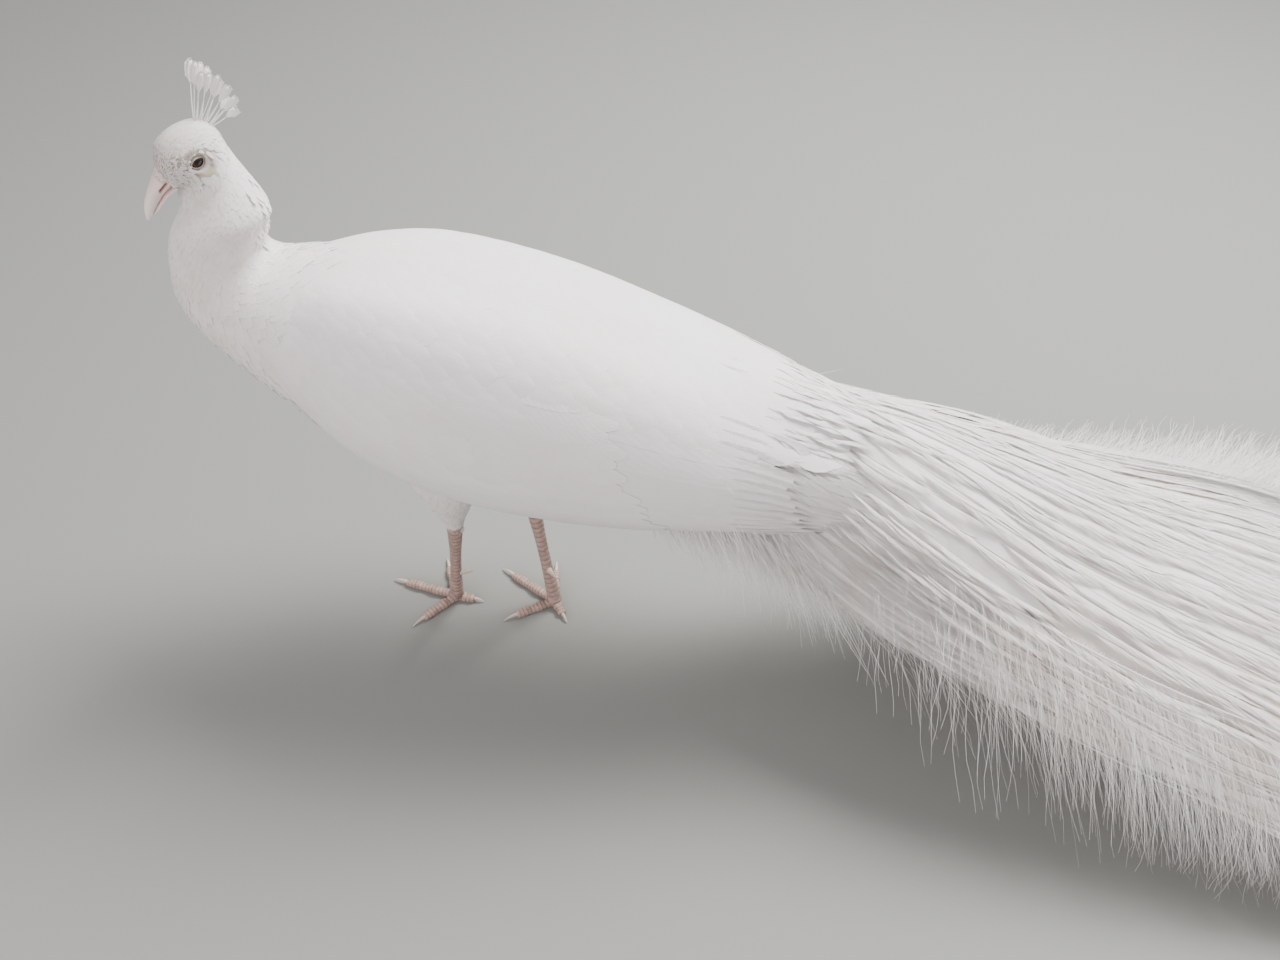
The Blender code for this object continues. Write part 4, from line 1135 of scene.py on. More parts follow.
def bill_material():
    """Pink horn that pales to the tip, with fine lines along it and a red nostril."""
    material, tree, shader = new_material("bill_horn", 0.38, 0.45)
    shader.inputs["Subsurface Weight"].default_value = 0.15
    shader.inputs["Subsurface Radius"].default_value = (0.004, 0.0015, 0.001)
    horn = mottled(tree, 90.0, 0.5, BILL_PINK, BILL_PALE)
    colour = mix_colours(tree, attribute_value(tree, "to_tip"), horn, BILL_TIP)
    colour = mix_colours(tree, attribute_value(tree, "nostril"), colour, NOSTRIL_RED)
    grains = mottled(tree, GRAIN_SCALE, 1.0, BASE_PALE, BASE_GREY)
    colour = mix_colours(tree, attribute_value(tree, "base_skin"), colour, grains)
    tree.links.new(colour, shader.inputs["Base Color"])
    add_bump(tree, shader, noise_height(tree, 500.0), 0.0002, 0.5)
    return material


BILL_HORN = bill_material()
for name, rows in (("upper", BILL_UPPER), ("lower", BILL_LOWER)):
    points, faces = join_tubes([bill_half(rows, name == "upper")])
    bill_u, bill_v, bill_out = to_head(points)
    slit = np.exp(-(path_distance(NOSTRIL, bill_u, bill_v) / 0.0014) ** 2) * (np.abs(bill_out) > 0.003)
    skin_end = 0.0300 + 0.0065 * smoothstep(-0.009, 0.001, bill_v)
    base_skin = smoothstep(skin_end + 0.0010, skin_end - 0.0010, bill_u) * (name == "upper")
    add_piece("bill_horn_" + name, points, faces, BILL_HORN, ("bill_" + name,),
              values={"to_tip": smoothstep(0.040, 0.066, bill_u), "nostril": slit * (name == "upper"),
                      "base_skin": base_skin})

# %% [markdown]
# ## Coat of the body
#
# Small feathers cover breast, back, belly, neck and legs in staggered rows.
# They are largest on the rump and finest on the face. Each row starts where the
# one before leaves about a third of its feathers' length bare, and the count in
# a row follows from the girth there, so the coat is even all round.

# %% Body feathers
BODY_SHAPE = {"width": (0.35, 0.85, 1.0, 0.75, 0.14), "rise": (-0.0016, -0.0007, -0.0002, 0.0001, 0.0002),
              "crown": 0.01}
FEATHER_PLACES = (0, 3, 6, 8, 10, 11.5, 13, 15, LAST_PLACE)
FEATHER_LENGTHS = (0.044, 0.040, 0.034, 0.024, 0.017, 0.0125, 0.0062, 0.0036, 0.0026)
FEATHER_SLENDER = (0.40, 0.40, 0.38, 0.34, 0.26, 0.24, 0.26, 0.30, 0.30)  # half width by length
NAPE_FILL = ((5.6, 6.4, 7.2, 7.8, 8.4, 9.0, 10.0, 11.0),
             (0, 0.0025, 0.0080, 0.0125, 0.0150, 0.0100, 0.0018, 0))


def body_place(u, v):
    """Place on the unrolled bird: along by rows, round by angle."""
    return 0.01 + 0.97 * np.clip(-u / LAST_PLACE, 0, 1), 0.01 + 0.97 * np.mod(v / (2 * np.pi), 1)


def girth(place):
    """Length of the section's ring at a place, by adding up short chords."""
    v = np.linspace(0, 2 * np.pi, 73)
    ring = body_sheet(np.full(v.shape, -place), v, 0 * v)
    return np.linalg.norm(np.diff(ring, axis=0), axis=1).sum()


def body_roots(first, last, overlap, spread):
    """Roots of staggered rows from one place to another, as (u, v, length, half width).

    Rows crowd on the inner side of a bend, so roots there are thinned out by how much they crowd.
    """
    rows, place, odd = [], first, 0
    ring = np.linspace(0, 2 * np.pi, 49)
    while place < last:
        length = np.interp(place, FEATHER_PLACES, FEATHER_LENGTHS)
        half = length * np.interp(place, FEATHER_PLACES, FEATHER_SLENDER)
        count = max(int(girth(place) / (half * spread)), 8)
        v = (np.arange(count) + 0.5 * odd + draws.uniform(-0.22, 0.22, count)) * 2 * np.pi / count
        ahead = body_sheet(np.full(49, -place - 0.04), ring, 0 * ring)
        behind = body_sheet(np.full(49, -place + 0.04), ring, 0 * ring)
        stretch = np.linalg.norm(ahead - behind, axis=1) / 0.08
        widest = stretch.max()
        kept = draws.random(count) < 0.25 + np.interp(v % (2 * np.pi), ring, stretch) / widest
        row = np.stack([np.full(count, -place), v, np.full(count, length), np.full(count, half)], -1)
        rows.append(row[kept])
        place += overlap * length / widest
        odd = 1 - odd
    rows = np.concatenate(rows)
    rows[:, 0] += draws.uniform(-0.02, 0.02, len(rows))
    rows[:, 2] *= draws.uniform(0.88, 1.12, len(rows))
    return rows.T


def from_back(v):
    """How far an angle lies from the middle of the back, to either side."""
    return np.abs((v + np.pi) % (2 * np.pi) - np.pi)


def lies_bare(u, v):
    """Where no body feather is needed: under the wings and under the train's root."""
    turn = from_back(v)
    wing = (-u > 1.1) & (-u < 5.3) & (turn < 1.85)
    rump = (-u < 1.9) & (turn < 0.6)
    return wing | rump


def face_bare(points):
    """Chance that a spot on the head carries no feather: round the eye, at the mouth and before the eye."""
    u, v, out = to_head(points)
    eye = smoothstep(0.0112, 0.0092, np.hypot(u, v / EYE_TALL)) * (np.abs(out) > 0.01)
    mouth = np.exp(-(path_distance(GAPE, u, v) / 0.0022) ** 2) * (np.abs(out) > 0.005)
    return np.clip(eye + mouth + 0.80 * face_mask(points), 0, 1)


def outline_base(u, v):
    """Feathers that lie straight on the bird's outline."""
    return np.zeros(np.shape(u))


def nape_height(u, v):
    """How far the plumage fills the hollow where neck and back meet, fading to the neck's sides."""
    return np.interp(-u, *NAPE_FILL) * smoothstep(1.35, 0.10, from_back(v))


u, v, length, half = body_roots(0.05, 10.9, 0.34, 1.15)
keep = ~lies_bare(u, v)
u, v, length, half = u[keep], v[keep], length[keep], half[keep]
body_coat = Coat()
body_vanes = lay_vanes(body_sheet, u, v, length, half, nape_height, BODY_SHAPE,
                       heading=draws.normal(0, 0.07, len(u)))
body_coat.add_vanes(body_vanes, body_place, draws.uniform(0.95, 1.0, len(u)))
body_coat.make("body_coat", BODY_FEATHERS)

# %% Head feathers
HEAD_SHAPE = {"width": (0.5, 1.0, 0.9, 0.25), "rise": (-0.0010, -0.0003, 0.0001, 0.0003), "crown": 0.1}
u, v, length, half = body_roots(10.9, 16.7, 0.36, 1.25)
spots = body_sheet(u, v, 0 * u)
keep = draws.random(len(u)) > face_bare(spots)
u, v, length, half = u[keep], v[keep], length[keep], half[keep]
head_coat = Coat()
head_vanes = lay_vanes(body_sheet, u, v, length, half, outline_base, HEAD_SHAPE,
                       heading=draws.normal(0, 0.15, len(u)))
head_coat.add_vanes(head_vanes, body_place, draws.uniform(0.90, 1.0, len(u)))
head_coat.make("head_coat", BODY_FEATHERS)

# %% Tufts on the bare face
TUFT = {"width": (0.8, 1.0, 0.7, 0.2), "rise": (-0.0002, 0.0004, 0.0009, 0.0013), "crown": 0.2}
count = 4200
u, v = -draws.uniform(13.6, LAST_PLACE - 0.05, count), draws.uniform(0, 2 * np.pi, count)
spots = body_sheet(u, v, 0 * u)
head_u, head_v, head_out = to_head(spots)
clear = (np.hypot(head_u, head_v) > 0.0122) | (np.abs(head_out) < 0.008)
clear &= path_distance(GAPE, head_u, head_v) > 0.0016
keep = (draws.random(count) < 0.42 * face_mask(spots)) & clear
u, v = u[keep], v[keep]
size = draws.uniform(0.0016, 0.0030, len(u))
vanes = lay_vanes(body_sheet, u, v, size, size * 0.22, outline_base, TUFT,
                  heading=draws.normal(0, 0.5, len(u)))
coat = Coat()
coat.add_vanes(vanes, body_place, draws.uniform(0.97, 1.0, len(u)))
coat.make("face_tufts", BODY_FEATHERS)

# %% [markdown]
# ## Hackles
#
# Down the back of the neck the feathers are narrow and pointed. They don't
# follow its bend but run nearly straight to the back. A slab of down fills the
# hollow under them, by up to fifteen millimetres, and the body's own feathers
# lie on it too. The hackles' tips stand out as a row of small teeth.

# %% Nape hackles
HACKLE = {"width": (0.7, 1.0, 0.85, 0.5, 0.06), "rise": (-0.0015, 0.0000, 0.0008, 0.0017, 0.0030),
          "crown": 0.2}
u, v = grid(np.linspace(-11.2, -5.6, 90), np.linspace(-1.40, 1.40, 60))
rim = smoothstep(1.40, 1.10, np.abs(v)) * smoothstep(5.6, 6.2, -u) * smoothstep(11.2, 10.6, -u)
outer = body_sheet(u, v, nape_height(u, v) - 0.0016 - 0.0050 * (1 - rim))
add_slab("nape_down", outer, body_sheet(u, v, np.full(u.shape, -0.0080)))
coat = Coat()
for count, spread, lift, low, high in ((620, 0.42, 0.12, 7.8, 11.0), (80, 0.12, 1.0, 8.5, 10.6)):
    u = -low - (high - low) * draws.beta(1.2, 1.2, count)
    v = np.mod(draws.normal(0, spread, count), 2 * np.pi)
    size = np.interp(-u, (8.2, 10.0, 12.6), (0.021, 0.017, 0.009)) * draws.uniform(0.85, 1.15, count)
    shape = dict(HACKLE, rise_scale=lift)
    vanes = lay_vanes(body_sheet, u, v, size, size * 0.24, nape_height, shape,
                      heading=draws.normal(0, 0.06, count))
    coat.add_vanes(vanes, body_place, draws.uniform(0.97, 1.0, count))
coat.make("nape_hackles", BODY_FEATHERS)

# %% [markdown]
# ## Leg feathers
#
# Both thighs are feathered down to the hock. The feathers stand in rings, each
# ring half a step on from the one above, and grow smaller towards the bare shank.

# %% Leg feathers
leg_coat = Coat()
LEG_SHAPE = {"width": (0.4, 0.9, 1.0, 0.2), "rise": (-0.0030, -0.0008, 0.0004, 0.0012), "crown": 0.15}


def leg_place(word):
    """Each leg's own place on the unrolled bird."""
    low = 0.10 if word == "left" else 0.60

    def place(u, v):
        return 0.30 + 0.10 * np.clip(u, 0, 1), low + 0.2 * np.mod(v / (2 * np.pi), 1)

    return place


for word in ("left", "right"):
    leg_rows = []
    for row, share in enumerate(np.linspace(0.28, 1.02, 28)):
        size = np.interp(share, (0.3, 1.0), (0.026, 0.009))
        count = int(np.interp(share, (0.3, 1.0), (30, 22)))
        turns = (np.arange(count) + 0.5 * (row % 2) + draws.uniform(-0.3, 0.3, count)) * 2 * np.pi / count
        leg_rows.append(np.stack(np.broadcast_arrays(share, turns, size, size * 0.22), -1))
    u, v, length, half = np.concatenate(leg_rows).T
    vanes = lay_vanes(leg_sheet_of(word), u, v, length * draws.uniform(0.8, 1.15, len(u)), half,
                      outline_base, LEG_SHAPE, heading=draws.normal(0, 0.12, len(u)))
    leg_coat.add_vanes(vanes, leg_place(word), draws.uniform(0.93, 1.0, len(u)))
leg_coat.make("leg_coat", BODY_FEATHERS)

# %% [markdown]
# ## Crest
#
# A peafowl's crest is a fan of stiff feathers on the crown. Each is a bare
# shaft with a small paddle of barbs at its end. The shafts are thin tubes and
# the paddles thin vanes with a fringe.

# %% Crest feathers
CREST_ROOTS = ((-0.0205, 0.0190), (-0.0280, 0.0070))
CREST_COUNT = 15
CREST_LENGTH = 0.053


def crest_frames():
    """Root, direction, bend, spread and facing of every crest feather, from the fan's front to its back."""
    share = np.linspace(0, 1, CREST_COUNT)[:, None]
    first, last = from_head(*CREST_ROOTS[0], 0.0), from_head(*CREST_ROOTS[1], 0.0)
    lean = np.radians(33 + 62 * share**1.3)
    lean = lean + np.radians(draws.uniform(-4, 4, (CREST_COUNT, 1)))
    aside = np.radians(np.resize((-14, 2, 13), CREST_COUNT)[:, None] + draws.uniform(-3, 3, (CREST_COUNT, 1)))
    stem = UPWARD * np.cos(lean) - FORWARD * np.sin(lean)
    grow = stem * np.cos(aside) + LEFTWARD * np.sin(aside)
    bend = UPWARD * 0.22 * share - (FORWARD * np.cos(lean) + UPWARD * np.sin(lean)) * 0.08 * (1 - share)
    facing = LEFTWARD * np.cos(aside) - stem * np.sin(aside)
    spread = unit(np.cross(facing, grow))
    length = CREST_LENGTH * (1 - 0.45 * share) * draws.uniform(0.90, 1.05, (CREST_COUNT, 1))
    return first + (last - first) * share, grow, bend, spread, facing, length


def crest_coat():
    """Bare shafts, the paddles at their ends, and the paddles' fringe."""
    coat = Coat()
    root, grow, bend, spread, facing, length = crest_frames()

    def spines(shares):
        return root[:, None] + (grow[:, None] * shares + bend[:, None] * shares**2) * length[:, None]

    spine = spines(np.linspace(0.0, 0.96, 9)[:, None])
    turn = ring_angles(5)
    radius = np.linspace(0.0006, 0.00035, 9)[None, :, None, None]
    ring = spread[:, None, None] * np.cos(turn)[:, None] + facing[:, None, None] * np.sin(turn)[:, None]
    tubes = spine[:, :, None] + radius * ring
    flat_uv = np.full(tubes.shape[:-1] + (2,), 0.5)
    coat.add(tubes, tube_faces(CREST_COUNT, 9, 5), flat_uv, flat_uv * 1.9, np.ones(1))
    oval = 0.0028 * np.sin(np.pi * np.linspace(0.04, 0.93, 9)) ** 0.6
    line = spines(np.linspace(0.68, 1.04, 9)[:, None])
    turn = ring_angles(8)
    flat_ring = (spread[:, None, None] * np.cos(turn)[:, None] * oval[:, None, None]
                 + facing[:, None, None] * np.sin(turn)[:, None] * 0.0009)
    paddles = line[:, :, None] + flat_ring
    flat_uv = np.full(paddles.shape[:-1] + (2,), 0.5)
    coat.add(paddles, tube_faces(CREST_COUNT, 9, 8), flat_uv, flat_uv * 1.9, np.ones(1))
    per_side = 44
    place = np.linspace(0.70, 1.03, per_side)
    for sign in (-1, 1):
        at = spines(place[:, None])
        lean = np.radians(np.interp(place, (0.70, 1.03), (30, 10)))[:, None]
        way = unit(np.cos(lean) * grow[:, None] + sign * np.sin(lean) * spread[:, None])
        size = np.interp(place, (0.70, 0.86, 1.03), (0.0065, 0.0085, 0.0030))
        size = size * draws.uniform(0.9, 1.08, (CREST_COUNT, per_side))
        bend_out = np.broadcast_to(spread[:, None] * sign * 0.10, at.shape)
        normal = np.broadcast_to(facing[:, None], at.shape)
        flat = [array.reshape(-1, 3) for array in (at, way, normal, bend_out)]
        made = strips(*flat, size.ravel(), 0.0014, 4)
        coat.add_strips(made, np.full((len(made), 2), 0.95), draws.uniform(0.9, 1.0, len(made)))
    return coat


crest_coat().make("crest_plumes", BODY_FEATHERS, nodes=("crest",))

# %% [markdown]
# ## Wings
#
# A folded wing shows its feathers in tiers. Small scale-like coverts lie on the
# shoulder, then longer ones, then the long secondaries, with the narrow
# primaries below them along the lower edge. Every tier lies over the next. A
# solid root under them keeps the wing's swell.

# %% Wing base
WING_HEIGHT = ((0.0, 0.35, 0.60, 0.90, 1.0), (0.0140, 0.0128, 0.0085, 0.0042, 0.0005))


def wing_height(u, v):
    """Height of the wing's surface over its envelope.

    The tiers add up at the shoulder, its front runs out into the breast, and its lower rim dips.
    """
    front = smoothstep(-0.02, 0.30, u)
    edge = np.sin(np.pi * np.clip(0.16 + 0.78 * v, 0.02, 0.98)) ** 0.35
    sunk = 0.0035 + 0.0045 * smoothstep(0.60, 0.15, v)
    return np.interp(u, *WING_HEIGHT) * edge * front - sunk * (1 - front)


def wing_base(sheet):
    """Outer and inner side of the wing's root, swollen at the shoulder and thin behind."""
    along, down = grid(np.linspace(-0.02, 0.74, 60), np.linspace(0.03, 0.97, 40))
    height = wing_height(along, down)
    outer = sheet(along, down, height - 0.0035)
    swell = -0.004 - 0.010 * np.sin(np.pi * down) * (1.0 - along)
    return outer, sheet(along, down, np.minimum(height - 0.0060, swell))


# %% Wing feathers
COVERT = {"width": (0.40, 0.80, 1.0, 0.97, 0.72, 0.16),
          "rise": (-0.0009, -0.0005, -0.0002, 0.0000, 0.0000, -0.0002), "crown": 0.03}
QUILL = {"width": (0.55, 0.85, 1.0, 1.0, 0.97, 0.90, 0.66, 0.16),
         "rise": (-0.0025, -0.0012, -0.0006, -0.0002, 0.0, 0.0001, 0.0002, 0.0002),
         "crown": 0.01, "roll": 0.012}
WING_ON_BODY = (6.0, 0.2)  # the body's rows beside the wing's shoulder and its tip
WING_ROWS_OF_COVERTS = (  # first and last root along the wing, rows, count in a row, length, half width
    (-0.010, 0.150, 7, 15, 0.036, 0.0125),
    (0.175, 0.330, 6, 14, 0.046, 0.0145),
    (0.360, 0.430, 3, 13, 0.064, 0.0165),
    (0.480, 0.520, 1, 12, 0.092, 0.0180),
)


def wing_rows():
    """Roots of the coverts' staggered rows: along and down the wing, length and half width."""
    rows = []
    for first, last, count, across, length, half in WING_ROWS_OF_COVERTS:
        for k, root in enumerate(np.linspace(first, last, count)):
            spots = (np.arange(across) + 0.5 * (k % 2) + 0.25) / across
            spots = 0.03 + 0.94 * spots + draws.uniform(-0.006, 0.006, across)
            rows.append(np.stack([root + draws.uniform(-0.008, 0.008, across), spots,
                                  length * draws.uniform(0.92, 1.08, across), np.full(across, half)], -1))
    return np.concatenate(rows).T


def wing_place_of(side):
    """The wing's place on the unrolled bird."""
    return lambda u, v: body_place(-np.interp(u, (0, 1), WING_ON_BODY), wing_angle(v) * (-side))


def flank_base(u, v):
    """Flank plumes start well under the wing's feathers and come out behind them."""
    return -0.0025 - 0.012 * smoothstep(1.0, 0.75, u) + 0 * v


for side, word in SIDES:
    sheet = wing_sheet_of(side)
    place = wing_place_of(side)
    add_slab("wing_root_" + word, *wing_base(sheet))
    coat = Coat()
    u, v, length, half = wing_rows()
    vanes = lay_vanes(sheet, u, v, length, half, wing_height, COVERT, wide=5,
                      heading=draws.normal(0, 0.03, len(u)))
    coat.add_closed(vanes, place, draws.uniform(0.96, 1.0, len(u)))
    for count, root, low_tip, high_tip, low, high, half_width, drop, darkest in (
        (8, 0.46, 1.09, 1.02, 0.965, 0.76, 0.0125, 0.0045, 0.80),
        (13, 0.44, 1.02, 0.96, 0.86, 0.07, 0.0180, 0.0000, 0.95),
        (14, 0.42, 0.76, 0.62, 0.90, 0.10, 0.0170, -0.0003, 0.96),
    ):
        share = np.linspace(0, 1, count)
        u = np.full(count, root) + draws.uniform(-0.005, 0.005, count)
        v = low + (high - low) * share
        tip = low_tip + (high_tip - low_tip) * share + draws.uniform(-0.020, 0.020, count)
        length = (tip - root) * 0.53

        def quill_base(u, v, drop=drop):
            return wing_height(u, v) - drop

        vanes = lay_vanes(sheet, u, v, length, np.full(count, half_width), quill_base, QUILL, wide=5)
        # The last number of each tier darkens its lowest quill: painted shade along the wing's lower edge.
        tone = draws.uniform(0.95, 1.0, count) * np.where(share == 0, darkest, 1.0)
        coat.add_closed(vanes, place, tone)
        if tip.mean() < 0.90:
            continue
        add_barbs(coat, vanes, place, 0.97, 60, 0.78, 0.024, 14, from_edge=0.6, tufts=3)
    coat.make("wing_feathers_" + word, BODY_FEATHERS, nodes=("wing_" + word,))
    coat = Coat()
    count = 130
    u, v = draws.uniform(0.70, 1.02, count), draws.uniform(0.10, 1.0, count)
    vanes = lay_vanes(sheet, u, v, draws.uniform(0.05, 0.10, count), np.full(count, 0.010), flank_base,
                      COVERT, heading=draws.uniform(0.0, 0.35, count), wide=5)
    # The plumes' roots are painted far darker: painted shade of the crease where they come out from under the
    # wing.
    coat.add_closed(vanes, place, draws.uniform(0.96, 1.0, count), root_painted_shade=0.60)
    add_barbs(coat, vanes, place, 0.97, 50, 0.45, 0.026, 17, from_edge=0.5, tufts=5, rough=0.4, above=0.0003)
    coat.make("flank_plumes_" + word, BODY_FEATHERS)

# %% [markdown]
# ## Mantle
#
# The shoulder feathers of a resting bird spread over the upper edge of each
# folded wing and meet on its back, so no gap shows there. They lie on a sheet of
# their own, stretched from wing to wing. In the middle it sinks to the back, and
# behind it rides up on the train's first feathers.

# %% Mantle sheet
MANTLE_HALF_DEG = 56
MANTLE_MIDDLE = ((-0.03, 0.04, 0.12, 0.25, 0.42, 0.67, 0.80, 0.95, 1.15),
                 (-0.0170, -0.0120, -0.0078, -0.0045, -0.0035, -0.0030, 0.0030, 0.0120, 0.0190))


def mantle_sheet(u, v, height):
    """The back from wing to wing: u as on the wing, v across from -1 on the left to 1 on the right."""
    return wing_shell(u, np.radians(MANTLE_HALF_DEG) * v, height)


def mantle_height(u, v):
    """The wing's own height at the sides, the back's in the middle and a smooth step between them.

    Its front sinks under the feathers of the body.
    """
    turned = np.abs(v) * MANTLE_HALF_DEG
    side = wing_height(u, (turned - WING_UPPER_DEG) / (WING_LOWER_DEG - WING_UPPER_DEG))
    middle = np.interp(u, *MANTLE_MIDDLE)
    front = 0.0015 * smoothstep(0.14, -0.03, u)
    return middle + (side - middle) * smoothstep(4, 36, turned) + 0.0014 * smoothstep(58, 44, turned) - front


def mantle_place(u, v):
    """The mantle's place on the unrolled bird."""
    return body_place(-np.interp(u, (0, 1), WING_ON_BODY), np.radians(MANTLE_HALF_DEG) * -v)


def mantle_narrowing(u):
    """How wide the mantle is, as a share of its full width: it draws in towards its end."""
    return 1 - 0.32 * smoothstep(0.66, 1.0, u)


def mantle_rows():
    """Roots of staggered rows: place along, place across, length and half width of each feather."""
    rows, u, odd = [], -0.03, 0
    while u < 1.0:
        length = np.interp(u, (0, 0.4, 0.8, 1.0), (0.030, 0.042, 0.050, 0.056))
        half = 0.36 * length - 0.30 * max(length - 0.042, 0)
        count = int(0.205 / (half * 1.15))
        v = -1 + 2 * (np.arange(count) + 0.25 + 0.5 * odd) / count + draws.uniform(-0.02, 0.02, count)
        v = v * mantle_narrowing(u)
        sizes = length * draws.uniform(0.9, 1.1, count)
        rows.append(np.stack([u + draws.uniform(-0.008, 0.008, count), v, sizes, np.full(count, half)], -1))
        u += 0.32 * length / 0.51
        odd = 1 - odd
    return np.concatenate(rows).T


u, v = grid(np.linspace(-0.02, 1.02, 80), np.linspace(-0.93, 0.93, 60))
v = v * mantle_narrowing(u)
height = mantle_height(u, v)
add_slab("mantle_root", mantle_sheet(u, v, height - 0.0007), mantle_sheet(u, v, height - 0.0070))
u, v, length, half = mantle_rows()
vanes = lay_vanes(mantle_sheet, u, v, length, half, mantle_height, COVERT, wide=5,
                  heading=draws.normal(0, 0.05, len(u)))
coat = Coat()
coat.add_closed(vanes, mantle_place, draws.uniform(0.98, 1.0, len(u)))
add_barbs(coat, some_vanes(vanes, u > 0.84), mantle_place, 0.97, 40, 0.45, 0.022, 14,
          from_edge=0.6, tufts=4, wild=0.02, rough=0.1, above=0.0001)
coat.make("mantle_feathers", BODY_FEATHERS)

# %% [markdown]
# ## Train
#
# The train is a cock's upper tail coverts, up to one and a half metres long.
# From the rump back they lie in rows, each row longer than the one before, and
# the last rows lie on the ground. Every feather has a white shaft, a soft vane
# that clings together near it, and loose hair-like barbs beyond. The rows are
# staggered, and the barbs are narrow strips, each bent a little differently.

# %% Train base
TRAIN_HEIGHT = ((0.16, 0.30, 0.46, 0.66, 0.87, 1.08, 1.29, 1.50),
                (0.0200, 0.0215, 0.0200, 0.0155, 0.0110, 0.0065, 0.0022, 0.0012))
TRAIN_SHORTER = 0.20  # the outer feathers end this much sooner than the middle ones


def train_place(u, v):
    """Place on the unrolled train: along by x, across by v."""
    return 0.01 + 0.97 * np.clip((u - 0.10) / 1.45, 0, 1), 0.5 + 0.47 * np.clip(v, -1.05, 1.05)


def train_height(u, v):
    """Height of the train's surface over its sheet, with slow waves where its feathers gather."""
    folds = 0.0020 * np.sin(13 * v + 3.5 * u + 0.8 * np.sin(9 * u)) + 0.0014 * np.sin(21 * u + 6 * v)
    wave = folds * smoothstep(0.38, 0.60, u) * smoothstep(1.45, 1.15, u)
    edge = 1 - 0.85 * smoothstep(0.72, 1.08, np.abs(v))
    return np.interp(u, *TRAIN_HEIGHT) * edge + wave


def under_barbs(u, v):
    """Height of the vanes, which lie a little under the barbs that make the train's surface."""
    return train_height(u, v) - 0.0040


def train_base():
    """Outer and inner side of the train's root: one under the feathers, the other above the tail."""
    u, v = grid(np.linspace(0.175, 1.15, 90), np.linspace(-0.95, 0.95, 60))
    round_edge = (1 - np.abs(v / 0.95) ** 5) ** 0.5
    outer = train_sheet(u, v, (train_height(u, v) - 0.0035) * round_edge - 0.004 * (1 - round_edge))
    depth = np.maximum(train_depth(u, v), 0.002) * smoothstep(1.25, 0.7, u) + 0.001
    return outer, train_sheet(u, v, -depth * round_edge - 0.0045 * (1 - round_edge))


add_slab("train_root", *train_base())

# %% Train feathers
TRAIN_VANE = {"width": (0.30, 0.60, 0.82, 0.95, 1.0, 1.0, 0.92, 0.66, 0.14),
              "rise": (-0.0030, -0.0016, -0.0008, -0.0003, 0.0000, 0.0002, 0.0003, 0.0004, 0.0003),
              "crown": 0.02}
ROW_XS = np.concatenate([np.linspace(0.165, 0.40, 9), np.linspace(0.435, 1.24, 21)])
TRAIN_DRAPE = 0.55  # how far the feathers of the train's root turn down its sides


def train_rows():
    """Roots of the train's rows: (x, across, length, half width) of each feather."""
    rows = []
    for k, x in enumerate(ROW_XS):
        length = np.interp(x, (0.165, 0.30, 0.50, 0.70, 0.95, 1.24), (0.065, 0.105, 0.20, 0.30, 0.33, 0.26))
        half = np.interp(x, (0.165, 0.30, 0.50, 0.80, 1.24), (0.0135, 0.0175, 0.0215, 0.0235, 0.022))
        sides = train_sheet(np.full(41, x), np.linspace(-1, 1, 41), 0.0)
        count = int(np.linalg.norm(np.diff(sides, axis=0), axis=1).sum() / (half * 1.45))
        across = -1.05 + 2.1 * (np.arange(count) + 0.25 + 0.5 * (k % 2)) / count
        across = across + draws.uniform(-0.02, 0.02, count)
        longest = 1.50 - TRAIN_SHORTER * across**2 - x
        lengths = np.minimum(length * draws.uniform(0.88, 1.12, count), longest)
        x_roots = x + draws.uniform(-0.012, 0.012, count)
        rows.append(np.stack([x_roots, across, lengths, np.full(count, half)], -1))
    return np.concatenate(rows).T


u, v, length, half = train_rows()
tone = draws.uniform(0.93, 1.0, len(u))
drape = TRAIN_DRAPE * v * (1 - v**4) * smoothstep(0.90, 0.30, u)
train_vanes = lay_vanes(train_sheet, u, v, length, half, under_barbs, TRAIN_VANE, wide=5,
                        heading=drape + draws.normal(0, 0.04, len(u)),
                        turn=draws.normal(0, 0.05, len(u)) - 0.9 * drape)
train_coat = Coat()
inner = np.abs(v) < 0.90
train_coat.add_closed(some_vanes(train_vanes, inner), train_place, tone[inner])
add_shafts(train_coat, train_vanes, train_place, 0.0010, 0.0004, tone)
train_coat.make("train_vanes", LARGE_FEATHERS, nodes=("train",))

# %% Barbs of the train's vanes
TRAIN_ZONES = (  # name, first and last x of the roots, barbs to a side, their length, tufts
    ("rump", 0.0, 0.40, 60, 0.026, 5),
    ("front", 0.40, 0.62, 110, 0.044, 9),
    ("middle", 0.62, 0.86, 120, 0.054, 11),
    ("rear", 0.86, 2.0, 120, 0.056, 11),
)
for name, low, high, per_side, size, tufts in TRAIN_ZONES:
    chosen = (train_vanes["u"][:, 0] >= low) & (train_vanes["u"][:, 0] < high)
    coat = Coat()
    add_barbs(coat, some_vanes(train_vanes, chosen), train_place, 0.93, per_side, 0.06, size, 20,
              from_edge=0.20, tufts=tufts, wild=0.035, rough=0.33, above=0.0026, gather=0.14, width=0.00075)
    coat.make("train_barbs_" + name, BARB_FINISH)

# %% [markdown]
# ## Side plumes
#
# Behind each wing a bunch of soft cream plumes lies just over the train's own
# barbs. They start under the wing's end and turn outward, so that the step from
# wing to train melts away.

# %% Side plumes
SIDE_PLUME = {"width": (0.45, 0.80, 0.95, 1.0, 1.0, 0.96, 0.80, 0.50, 0.10),
              "rise": (-0.0040, -0.0010, 0.0006, 0.0012, 0.0014, 0.0012, 0.0008, 0.0004, 0.0), "crown": 0.05}


def side_base(u, v):
    """Just over the train's own barbs."""
    return train_height(u, v) + 0.0012


